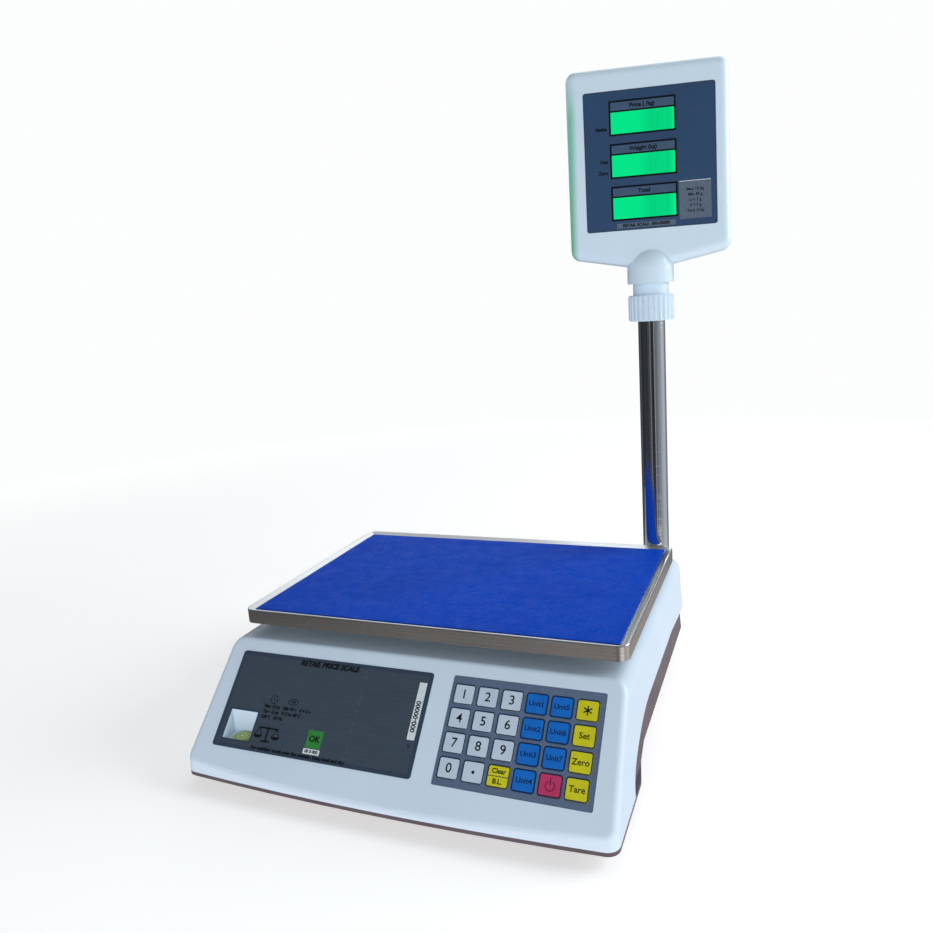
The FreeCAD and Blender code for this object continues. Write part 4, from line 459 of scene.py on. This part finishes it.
def rounded(x, y, width, height, radius=0.0, steps=5):
    """The corners of a rectangle, anticlockwise, each rounded in steps."""
    if radius <= 0:
        half = [(1, -1), (1, 1), (-1, 1), (-1, -1)]
        return [(x + i * width / 2, y + j * height / 2) for i, j in half]
    points = []
    for corner, (i, j) in enumerate(((1, -1), (1, 1), (-1, 1), (-1, -1))):
        centre_x = x + i * (width / 2 - radius)
        centre_y = y + j * (height / 2 - radius)
        for step in range(steps + 1):
            angle = math.radians(-90 + 90 * corner + 90 * step / steps)
            points.append((centre_x + radius * math.cos(angle), centre_y + radius * math.sin(angle)))
    return points


def oval(x, y, radius_x, radius_y, steps=40, start=0.0, stop=360.0):
    span = steps if stop - start >= 360 else steps + 1
    angles = [math.radians(start + (stop - start) * step / steps) for step in range(span)]
    return [(x + radius_x * math.cos(angle), y + radius_y * math.sin(angle)) for angle in angles]


class Print:
    """Thin raised shapes on a face, given in millimetres from its middle and joined into one piece."""

    def __init__(self, face):
        self.face = face
        self.mesh = bmesh.new()
        self.materials = []

    def index(self, material):
        if material not in self.materials:
            self.materials.append(material)
        return self.materials.index(material)

    def ring_of(self, loop, level):
        return [self.mesh.verts.new((x * MM, y * MM, level)) for x, y in loop]

    def wall(self, low, high, index, inward=False):
        for i in range(len(low)):
            following = (i + 1) % len(low)
            corners = [low[i], low[following], high[following], high[i]]
            if inward:
                corners.reverse()
            self.mesh.faces.new(corners).material_index = index

    def shape(self, outer, material, top=INK, hole=None, bottom=0.0):
        """A flat shape from bottom to top above the face, with an optional hole of as many points."""
        index = self.index(material)
        outer_low, outer_high = self.ring_of(outer, bottom), self.ring_of(outer, top)
        self.wall(outer_low, outer_high, index)
        if hole is None:
            self.mesh.faces.new(outer_high).material_index = index
            self.mesh.faces.new(list(reversed(outer_low))).material_index = index
            return
        hole_low, hole_high = self.ring_of(hole, bottom), self.ring_of(hole, top)
        self.wall(hole_low, hole_high, index, inward=True)
        self.wall(outer_high, hole_high, index)
        self.wall(outer_low, hole_low, index, inward=True)

    def frame(self, x, y, width, height, radius, line, material, top=INK):
        inner = max(radius - line, 0.15)
        hole = rounded(x, y, width - 2 * line, height - 2 * line, inner)
        self.shape(rounded(x, y, width, height, max(radius, 0.2)), material, top, hole)

    def stroke(self, points, width, material, top=INK):
        """A line of the given width along points."""
        for (x1, y1), (x2, y2) in zip(points, points[1:]):
            length = math.hypot(x2 - x1, y2 - y1)
            side_x, side_y = -(y2 - y1) / length * width / 2, (x2 - x1) / length * width / 2
            corners = [
                (x1 - side_x, y1 - side_y),
                (x2 - side_x, y2 - side_y),
                (x2 + side_x, y2 + side_y),
                (x1 + side_x, y1 + side_y),
            ]
            self.shape(corners, material, top)

    def words(
        self, text, x, y, size, material, top=INK, bottom=0.0, turn=0.0, slant=0.0, weight=0.0, align="CENTER"
    ):
        """Lettering with a real thickness; weight thickens its strokes."""
        curve = bpy.data.curves.new("words", "FONT")
        curve.body = text
        curve.size = size * MM
        curve.align_x = align
        curve.align_y = "CENTER"
        curve.shear = slant
        curve.offset = weight * MM
        curve.extrude = (top - bottom) / 2
        curve.resolution_u = 4
        holder = bpy.data.objects.new("words", curve)
        mesh = bpy.data.meshes.new_from_object(holder)
        where = Matrix.Translation((x * MM, y * MM, (top + bottom) / 2))
        mesh.transform(where @ Matrix.Rotation(math.radians(turn), 4, "Z"))
        before = len(self.mesh.faces)
        self.mesh.from_mesh(mesh)
        self.mesh.faces.ensure_lookup_table()
        index = self.index(material)
        for face in self.mesh.faces[before:]:
            face.material_index = index
        bpy.data.meshes.remove(mesh)
        bpy.data.objects.remove(holder)
        bpy.data.curves.remove(curve)

    def finish(self, name, body, slot):
        return add_piece(name, self.mesh, self.materials, body, self.face.matrix)


def add_piece(name, mesh, materials, body, matrix=None, smooth=False):
    """Turn a bmesh into a piece that rides on a body."""
    data = bpy.data.meshes.new(name)
    if matrix is not None:
        bmesh.ops.transform(mesh, matrix=matrix, verts=mesh.verts)
    bmesh.ops.recalc_face_normals(mesh, faces=mesh.faces)
    for face in mesh.faces:
        face.smooth = smooth
    mesh.to_mesh(data)
    mesh.free()
    for material in materials:
        data.materials.append(material)
    piece = bpy.data.objects.new(name, data)
    bpy.context.scene.collection.objects.link(piece)
    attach(piece, body)
    return piece


# the words of the named keys, and a key face's printed outline and star in millimetres
KEY_WORDS = {"key_set": "Set", "key_zero": "Zero", "key_tare": "Tare"}
KEY_FACE_WIDTH = 16.2
KEY_FACE_HEIGHT = 15.0
KEY_OUTLINE = 0.75
STAR_REACH = 3.4


def key_prints():
    """On every key a dark outline and its legend, moving with the key."""
    for node in sorted(nodes):
        if not node.startswith("key_"):
            continue
        face = Face(node)
        slot = next(part["material_slot"] for part in frame["record"]["subparts"] if part["node"] == node)
        width, height = KEY_FACE_WIDTH, KEY_FACE_HEIGHT
        sheet = Print(face)
        sheet.frame(0, 0, width, height, 2.0, KEY_OUTLINE, INK_NAVY)
        if node == "key_star":
            for turn in range(0, 180, 60):
                across = STAR_REACH * math.cos(math.radians(turn + 90))
                up = STAR_REACH * math.sin(math.radians(turn + 90))
                sheet.stroke([(-across, -up), (across, up)], 0.95, INK_BLACK)
        elif node == "key_power":
            arc = oval(0, -0.5, 3.5, 3.5, 26, 118, 422)
            inner = oval(0, -0.5, 2.95, 2.95, 26, 118, 422)
            sheet.shape(arc + inner[::-1], INK_DARK_RED)
            sheet.stroke([(0, 0.2), (0, 4.6)], 0.75, INK_DARK_RED)
        elif node == "key_point":
            sheet.shape(oval(0, 0, 1.15, 1.15, 24), INK_BLACK)
        elif node == "key_clear":
            sheet.words("Clear", 0, 3.4, 4.6, INK_BLACK, weight=0.13)
            sheet.stroke([(-width / 2 + 0.8, 0), (width / 2 - 0.8, 0)], 0.5, INK_NAVY)
            sheet.words("B.L.", 0, -3.5, 4.8, INK_BLACK, weight=0.13)
        elif node.startswith("key_unit_"):
            sheet.words("Unit" + node[-1], 0, 0, 5.2, INK_NAVY, weight=0.1)
        elif node in KEY_WORDS:
            sheet.words(KEY_WORDS[node], 0, 0, 6.0, INK_OLIVE, weight=0.1)
        else:
            sheet.words(node[-1], 0, 0, 9.4, INK_BLACK, weight=0.1)
        sheet.finish(node + "_print", body_of_node[node], slot)


SCRATCHES = 14  # short upright marks in the front label's right half


def front_label_print():
    """The front label's border, title, figures, stickers and a small drawing of a balance."""
    face = Face("front_label")
    width, height = face.half_width / MM * 2, face.half_height / MM * 2
    sheet = Print(face)
    sheet.frame(0, 0, width, height, 2.5, 3.2, INK_BORDER)
    window_x, window_y, window_side_x, window_side_y = -67.45, -20.9, 25.4, 22.8
    hole = rounded(window_x, window_y, window_side_x, window_side_y, 0.8)
    surround = rounded(window_x, window_y, window_side_x + 3, window_side_y + 3, 1.2)
    sheet.shape(surround, INK_BORDER, INK * 1.2, hole)
    sheet.words("RETAIL PRICE SCALE", -3.6, 34.2, 5.9, INK_BLACK, slant=0.25, weight=0.3, top=2 * INK)
    sheet.shape(oval(-43.9, 2.3, 3.3, 3.3, 28), INK_BLACK, hole=oval(-43.9, 2.3, 2.7, 2.7, 28))
    sheet.words("i", -43.9, 2.3, 3.6, INK_BLACK, weight=0.15)
    sheet.shape(oval(-26.0, 2.3, 4.8, 2.6, 28), INK_BLACK, hole=oval(-26.0, 2.3, 4.2, 2.0, 28))
    sheet.words("100", -26.0, 2.3, 2.8, INK_BLACK, weight=0.12)
    rows = [
        ("Max 15 kg   Min 40 g   d = 2 g", -3.4),
        ("Tare -5 kg   0 C to 40 C", -7.6),
        ("230 V   50 Hz", -11.8),
    ]
    for text, y in rows:
        sheet.words(text, -50.9, y, 3.5, INK_BLACK, align="LEFT", weight=0.19)
    balance_sign(sheet, -40.5, -24.6)
    footer = "For weighing goods over the counter. Keep level and dry."
    sheet.words(footer, -51.3, -35.9, 3.6, INK_BLACK, align="LEFT", top=2 * INK, weight=0.2)
    for step in range(SCRATCHES):
        x, y = 31.2 + 0.5 * math.sin(2.3 * step), -34.0 + 5.1 * step
        sheet.stroke([(x, y), (x + 0.1, y + 2.0 + 1.2 * math.sin(1.7 * step))], 0.22, INK_SCRATCH)
    sheet.shape(rounded(2.2, -22.7, 13.1, 13.2, 0.4), PAPER_GREEN, STICKER)
    sheet.words("OK", 2.2, -22.7, 6.4, INK_BLACK, STICKER + INK, STICKER, weight=0.2)
    sheet.shape(rounded(2.4, -32.0, 14.3, 4.0, 0.3), PAPER_WHITE, STICKER)
    sheet.words("00 0 000", 2.4, -32.0, 3.2, INK_BLACK, STICKER + INK, STICKER, weight=0.13)
    sheet.shape(rounded(80.5, 9.3, 6.2, 42.8, 0.3), PAPER_WHITE, STICKER)
    sheet.words("000-00000", 80.5, 5.0, 5.4, INK_BLACK, STICKER + INK, STICKER, turn=90, weight=0.14)
    sheet.words("T", 80.2, -17.4, 3.6, INK_BLACK, weight=0.12)
    sheet.finish("front_label_print", body_of_node["front_label"], "front_label_face")


def rear_print():
    """A plain rating plate on the housing's rear wall."""
    sheet = Print(Face("top_housing", (0.0, 1.0, 0.0), 0.9))
    x, y = 0.0, -2.0
    sheet.shape(rounded(x, y, 62, 24, 1.5), PAPER_GREY, STICKER)
    sheet.frame(x, y, 60, 22, 1.0, 0.35, INK_BLACK, STICKER + INK)
    sheet.words("RETAIL PRICE SCALE", x, y + 6.4, 4.2, INK_BLACK, STICKER + INK, STICKER, weight=0.12)
    for row, text in enumerate(("Max 15 kg   Min 40 g   d = 2 g", "230 V   50 Hz   8 W", "No. 000-00000")):
        sheet.words(text, x, y + 1.4 - 4.4 * row, 3.0, INK_BLACK, STICKER + INK, STICKER, weight=0.06)
    sheet.finish("rear_plate", body_of_node["top_housing"], "front_label_face")


def balance_sign(sheet, x, y):
    """A plain drawing of a beam balance."""
    line = 1.3
    sheet.stroke([(x - 9, y + 4.5), (x + 9, y + 4.5)], line, INK_BLACK)
    sheet.stroke([(x, y + 5.6), (x, y - 5.2)], line, INK_BLACK)
    sheet.stroke([(x - 4, y - 5.6), (x + 4, y - 5.6)], line, INK_BLACK)
    for side in (-1, 1):
        middle = x + side * 8
        sheet.stroke([(middle, y + 4.5), (middle - 3.2, y - 1.2)], 0.65, INK_BLACK)
        sheet.stroke([(middle, y + 4.5), (middle + 3.2, y - 1.2)], 0.65, INK_BLACK)
        sheet.shape(oval(middle, y - 1.2, 3.9, 2.4, 16, 180, 360), INK_BLACK)


WINDOW_X = -5.7
WINDOW_ROWS = [(32.7, "Price ( /kg)"), (-4.2, "Weight (kg)"), (-41.1, "Total")]
WINDOW_WIDTH = 55.2
WINDOW_HEIGHT = 18.8
HEADER = 8.0
HEADER_GAP = 0.6


def display_label_print():
    """On the display label: a frame and a heading over each window, small words and two stickers."""
    face = Face("display_label")
    sheet = Print(face)
    sheet.frame(0, 0, face.half_width / MM * 2, face.half_height / MM * 2, 2.2, 0.9, INK_BORDER)
    for y, heading in WINDOW_ROWS:
        top = y + WINDOW_HEIGHT / 2
        frame_y, frame_height = y + (HEADER + HEADER_GAP) / 2, WINDOW_HEIGHT + HEADER + 3.4
        sheet.frame(WINDOW_X, frame_y, WINDOW_WIDTH + 2.8, frame_height, 0.5, 1.6, INK_BLACK)
        strip = rounded(WINDOW_X, top + HEADER_GAP + HEADER / 2, WINDOW_WIDTH, HEADER - HEADER_GAP, 0.0)
        sheet.shape(strip, INK_HEADER, INK * 0.7)
        sheet.shape(rounded(WINDOW_X, top + 0.65, WINDOW_WIDTH, 1.4, 0.0), INK_BLACK, INK * 0.9)
        sheet.words(heading, WINDOW_X, top + 0.8 + HEADER / 2, 5.0, INK_BLACK, INK * 1.4, weight=0.18)
    for text, y in (("Stable", 28.2), ("Net", 0.0), ("Zero", -9.6)):
        sheet.words(text, WINDOW_X - WINDOW_WIDTH / 2 - 3.4, y, 4.1, INK_BLACK, align="RIGHT", weight=0.18)
    sheet.shape(rounded(38.3, -38.3, 27.5, 33.0, 0.4), PAPER_GREY, STICKER)
    for i, text in enumerate(("Max 15 kg", "Min 40 g", "d = 2 g", "d = 5 g", "Tare -5 kg")):
        sheet.words(text, 38.3, -29.5 - 4.6 * i, 3.5, INK_BLACK, STICKER + INK, STICKER, weight=0.08)
    sheet.shape(rounded(38.3, -22.2, 26.9, 0.5), INK_WHITE, STICKER + INK, bottom=STICKER)
    sheet.shape(rounded(-4.6, -56.6, 51.5, 4.4, 0.3), PAPER_GREY, STICKER)
    sheet.words("RETAIL SCALE  000-00000", -4.6, -56.6, 3.7, INK_BLACK, STICKER + INK, STICKER, weight=0.16)
    sheet.finish("display_label_print", body_of_node["display_label"], "display_label_face")


# ----------------------------------------------------------------------------------------------------------
# shaped detail
# ----------------------------------------------------------------------------------------------------------


def film_piece():
    """The shipping film: a thin sheet a little too loose for the pan, with small blisters near its edge."""
    low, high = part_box("pan_film")
    across, along = 200, 140
    sheet = bmesh.new()
    margin = 0.2 * MM
    thick = 0.12 * MM

    def height(x, y):
        edge = min(x - low.x, high.x - x, y - low.y, high.y - y)
        wave = noise.noise(Vector((x * 34, y * 34, 2.0))) + 0.5 * noise.noise(Vector((x * 95, y * 95, 7.0)))
        blister = max(0.0, noise.noise(Vector((x * 210, y * 210, 5.0))) - 0.28) * 0.5
        near_edge = max(0.0, 1 - edge / (9 * MM))
        return low.z + thick + (0.10 * (wave + 1.2) + 1.1 * blister * near_edge) * MM

    rows = []
    for j in range(along + 1):
        row = []
        for i in range(across + 1):
            x = low.x + margin + (high.x - low.x - 2 * margin) * i / across
            y = low.y + margin + (high.y - low.y - 2 * margin) * j / along
            ragged = 0.35 * MM * noise.noise(Vector((x * 160, y * 160, 1.0)))
            shift_x = -abs(ragged) if i == across else abs(ragged) if i == 0 else 0.0
            shift_y = -abs(ragged) if j == along else abs(ragged) if j == 0 else 0.0
            row.append(sheet.verts.new((x + shift_x, y + shift_y, height(x, y))))
        rows.append(row)
    for lower, upper in zip(rows, rows[1:]):
        for i in range(across):
            sheet.faces.new((lower[i], lower[i + 1], upper[i + 1], upper[i]))
    film = MATERIALS["protective_film"]
    piece = add_piece("pan_film_sheet", sheet, [film], "pan", smooth=True)
    solid = piece.modifiers.new("thickness", "SOLIDIFY")
    solid.thickness = thick
    solid.offset = -1
    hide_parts("pan_film")


BUBBLE = Finish("bubble", srgb(232, 240, 150), 0.05, coat=1.0, coat_roughness=0.02).mottle(
    srgb(214, 230, 110), 300.0
).material


def dress_level():
    """The bubble level's centre rings and its bubble."""
    low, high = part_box("bubble_level")
    middle = (low + high) / 2
    sheet = Print(None)
    for inner, outer in (2.0, 2.35), (5.2, 5.6):
        sheet.shape(oval(0, 0, outer, outer, 32), INK_BLACK, hole=oval(0, 0, inner, inner, 32))
    matrix = Matrix.Translation((middle.x, middle.y, high.z))
    add_piece("bubble_level_rings", sheet.mesh, sheet.materials, "base", matrix)
    bubble = bmesh.new()
    bmesh.ops.create_uvsphere(bubble, u_segments=24, v_segments=12, radius=1.6 * MM)
    flatten = Matrix.Diagonal((1, 1, 0.22, 1))
    place = Matrix.Translation((middle.x + 0.3 * MM, middle.y + 0.2 * MM, high.z + 0.02 * MM))
    add_piece("bubble_level_bubble", bubble, [BUBBLE], "base", place @ flatten, smooth=True)


# ----------------------------------------------------------------------------------------------------------
# stage, light and camera
# ----------------------------------------------------------------------------------------------------------


COOL = (0.84, 0.94, 1.0, 1.0)
BLACK = (0.0, 0.0, 0.0, 1.0)
PAPER = (0.98, 0.985, 0.99, 1.0)
FLOOR_RADIUS = 1.6
FADE = (0.5, 1.5)  # distances at which the floor starts to fade and has become the backdrop
BACKDROP_RADIUS = 7.0
WORLD_STRENGTH = 0.15


def stage():
    """A plain pale floor that fades into a pale backdrop."""
    floor_mesh = bmesh.new()
    bmesh.ops.create_circle(floor_mesh, cap_ends=True, segments=96, radius=FLOOR_RADIUS)
    finish = Finish("floor_pale", srgb(246, 238, 234), 0.9, Specular_IOR_Level=0.1)
    finish.mottle(srgb(243, 235, 231), 3.0)
    square = finish.math("ADD", *(finish.math("POWER", finish.axis(letter), 2.0) for letter in "XY"))
    distance = finish.math("SQRT", square)
    finish.tint(BLACK, finish.mapped(distance, *FADE))
    finish.glow(PAPER, 1.0)
    power = finish.mapped(distance, *FADE, 0.5, 1.0)
    finish.link(power, finish.shader.inputs["Emission Strength"])
    set_out("floor", floor_mesh, finish).visible_glossy = False
    dome = bmesh.new()
    bmesh.ops.create_uvsphere(dome, u_segments=48, v_segments=24, radius=BACKDROP_RADIUS)
    finish = Finish("backdrop_pale", BLACK, 1.0, Specular_IOR_Level=0.0)
    finish.glow(PAPER, 1.0)
    shell = set_out("backdrop", dome, finish)
    unseen_by_light(shell)
    shell.visible_glossy = False
    world = bpy.data.worlds.new("studio")
    world.use_nodes = True
    background = world.node_tree.nodes["Background"]
    background.inputs["Color"].default_value = COOL
    background.inputs["Strength"].default_value = WORLD_STRENGTH
    bpy.context.scene.world = world


def set_out(name, mesh, finish):
    """Put a thing of the studio's, not the scale's, into the scene."""
    data = bpy.data.meshes.new(name)
    mesh.to_mesh(data)
    mesh.free()
    data.materials.append(finish.material)
    thing = bpy.data.objects.new(name, data)
    bpy.context.scene.collection.objects.link(thing)
    return thing


def unseen_by_light(thing):
    thing.visible_diffuse = False
    thing.visible_shadow = False
    thing.visible_transmission = False
    thing.visible_volume_scatter = False


# what the metal mirrors: direction round the pole in degrees from +X, and how bright it is there
STREAKS = [
    (-180, 0.035), (-164, 0.035), (-162, 0.05), (-118, 0.045), (-115, 0.16), (-112, 0.03), (-108, 0.03),
    (-105, 0.2), (-102, 0.08), (-99, 0.3), (-95, 0.22), (-92, 0.03), (-68, 0.035), (-65, 0.6), (-62, 0.2),
    (-48, 0.18), (-40, 0.24), (-12, 0.4), (10, 0.62), (32, 0.58), (48, 0.3), (70, 0.2), (100, 0.18),
    (108, 0.1), (140, 0.06), (165, 0.12), (168, 0.035),
]
ROOM_TINT = (0.86, 0.93, 1.0, 1.0)
GROUND_TINT = (1.0, 0.93, 0.88, 1.0)
ROOM_FLOOR = 0.2
ROOM_SKY = 0.85
ROOM_RADIUS = 5.0
ROOM_HEIGHT = 0.2
GROUND_EDGE = (-0.33, -0.37)  # where its ground begins and is full, as shares of its radius
SKY_EDGE = (0.16, 0.34)
GLEAM_TURN = math.radians(42)  # a bright patch low on the right, for the pan's front corner
GLEAM_EDGE = (math.radians(8), math.radians(24))
GLEAM = 0.8


def surroundings():
    """The dim room that only polished surfaces see: upright streaks, a grey ground and a pale sky."""
    dome = bmesh.new()
    bmesh.ops.create_uvsphere(dome, u_segments=48, v_segments=24, radius=ROOM_RADIUS)
    finish = Finish("surroundings_room", BLACK, 1.0, Specular_IOR_Level=0.0)
    finish.glow(ROOM_TINT, 1.0)
    turn = finish.math("ARCTAN2", finish.axis("Y"), finish.axis("X"))
    ramp = finish.tree.nodes.new("ShaderNodeValToRGB")
    stops = ramp.color_ramp.elements
    while len(stops) < len(STREAKS):
        stops.new(0.5)
    for stop, (angle, level) in zip(stops, STREAKS):
        stop.position = (angle + 180) / 360
        stop.color = (level, level, level, 1.0)
    finish.link(finish.mapped(turn, -math.pi, math.pi), ramp.inputs["Fac"])
    height = finish.math("DIVIDE", finish.axis("Z"), ROOM_RADIUS)
    down = finish.mapped(height, *GROUND_EDGE)
    behind = finish.mapped(finish.axis("Y"), 0.0, 2.0, 0.25, 1.0)
    up = finish.math("MULTIPLY", finish.mapped(height, *SKY_EDGE), behind)
    grounded = finish.math("MULTIPLY", ramp.outputs["Color"], finish.math("SUBTRACT", 1.0, down))
    aside = finish.math("ABSOLUTE", finish.math("ADD", turn, GLEAM_TURN))
    gleam = finish.mapped(aside, *GLEAM_EDGE, GLEAM + ROOM_FLOOR, ROOM_FLOOR)
    ground = finish.math("MULTIPLY_ADD", ramp.outputs["Color"], 0.9, gleam)
    level = finish.math("MULTIPLY_ADD", down, ground, grounded)
    below = finish.math("MULTIPLY", level, finish.math("SUBTRACT", 1.0, up))
    power = finish.math("MULTIPLY_ADD", up, ROOM_SKY, below)
    finish.link(power, finish.shader.inputs["Emission Strength"])
    tints = finish.tree.nodes.new("ShaderNodeMix")
    tints.data_type = "RGBA"
    tints.inputs["A"].default_value = ROOM_TINT
    tints.inputs["B"].default_value = GROUND_TINT
    finish.link(down, tints.inputs["Factor"])
    finish.link(tints.outputs["Result"], finish.shader.inputs["Emission Color"])
    finish.material.cycles.emission_sampling = "NONE"
    shell = set_out("surroundings", dome, finish)
    low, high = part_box("pole")
    shell.location = ((low.x + high.x) / 2, (low.y + high.y) / 2, ROOM_HEIGHT)
    unseen_by_light(shell)
    shell.visible_camera = False


LAMP_TARGET = Vector((0.05, 0.0, 0.25))


def softbox(name, place, width, height, power):
    """A rectangular lamp that points at the scale and isn't seen itself."""
    light = bpy.data.lights.new(name, "AREA")
    light.shape = "RECTANGLE"
    light.size = width
    light.size_y = height
    light.energy = power
    light.color = COOL[:3]
    lamp = bpy.data.objects.new(name, light)
    lamp.location = place
    lamp.rotation_euler = (LAMP_TARGET - Vector(place)).to_track_quat("-Z", "Y").to_euler()
    lamp.visible_camera = False
    bpy.context.scene.collection.objects.link(lamp)
    return lamp


LAMPS = [
    # name, place, width, height, power
    ("front_lamp", (0.4, -2.3, 0.6), 1.8, 1.0, 29),
    ("right_lamp", (1.8, 0.8, 1.1), 1.4, 1.4, 36),
    ("top_lamp", (0.2, 1.3, 2.0), 1.6, 1.4, 7),
    ("back_lamp", (-1.0, 1.9, 1.2), 1.4, 1.0, 4),
]


def lights():
    """Four soft lamps; the front one leaves no highlight in the metal."""
    for name, place, width, height, power in LAMPS:
        lamp = softbox(name, place, width, height, power)
        lamp.visible_glossy = name != "front_lamp"


CAMERA_PLACE = Vector((0.25129, -0.63228, 0.36949))
CAMERA_YAW = 22.69
CAMERA_PITCH = 12.17
CAMERA_ROLL = 4.09
SENSOR = 36.0
LENS = 31.187


def camera():
    """The camera stands in front and to the right, looking down and to the left, rolled a little."""
    yaw, pitch, roll = (math.radians(angle) for angle in (CAMERA_YAW, CAMERA_PITCH, CAMERA_ROLL))
    forward = Vector((-math.sin(yaw) * math.cos(pitch), math.cos(yaw) * math.cos(pitch), -math.sin(pitch)))
    level_right = Vector((math.cos(yaw), math.sin(yaw), 0.0))
    level_down = forward.cross(level_right)
    right = math.cos(roll) * level_right + math.sin(roll) * level_down
    down = -math.sin(roll) * level_right + math.cos(roll) * level_down
    lens = bpy.data.cameras.new("camera")
    lens.lens = LENS
    lens.sensor_width = SENSOR
    lens.clip_start = 0.01
    lens.clip_end = 50.0
    viewer = bpy.data.objects.new("camera", lens)
    turn = Matrix((right, -down, -forward)).transposed().to_4x4()
    viewer.matrix_world = Matrix.Translation(CAMERA_PLACE) @ turn
    bpy.context.scene.collection.objects.link(viewer)
    bpy.context.scene.camera = viewer


camera()
stage()
surroundings()
lights()
dress_nodes()
key_prints()
front_label_print()
display_label_print()
rear_print()
film_piece()
dress_level()
bpy.context.scene.view_settings.view_transform = "Standard"

bpy.context.view_layer.update()
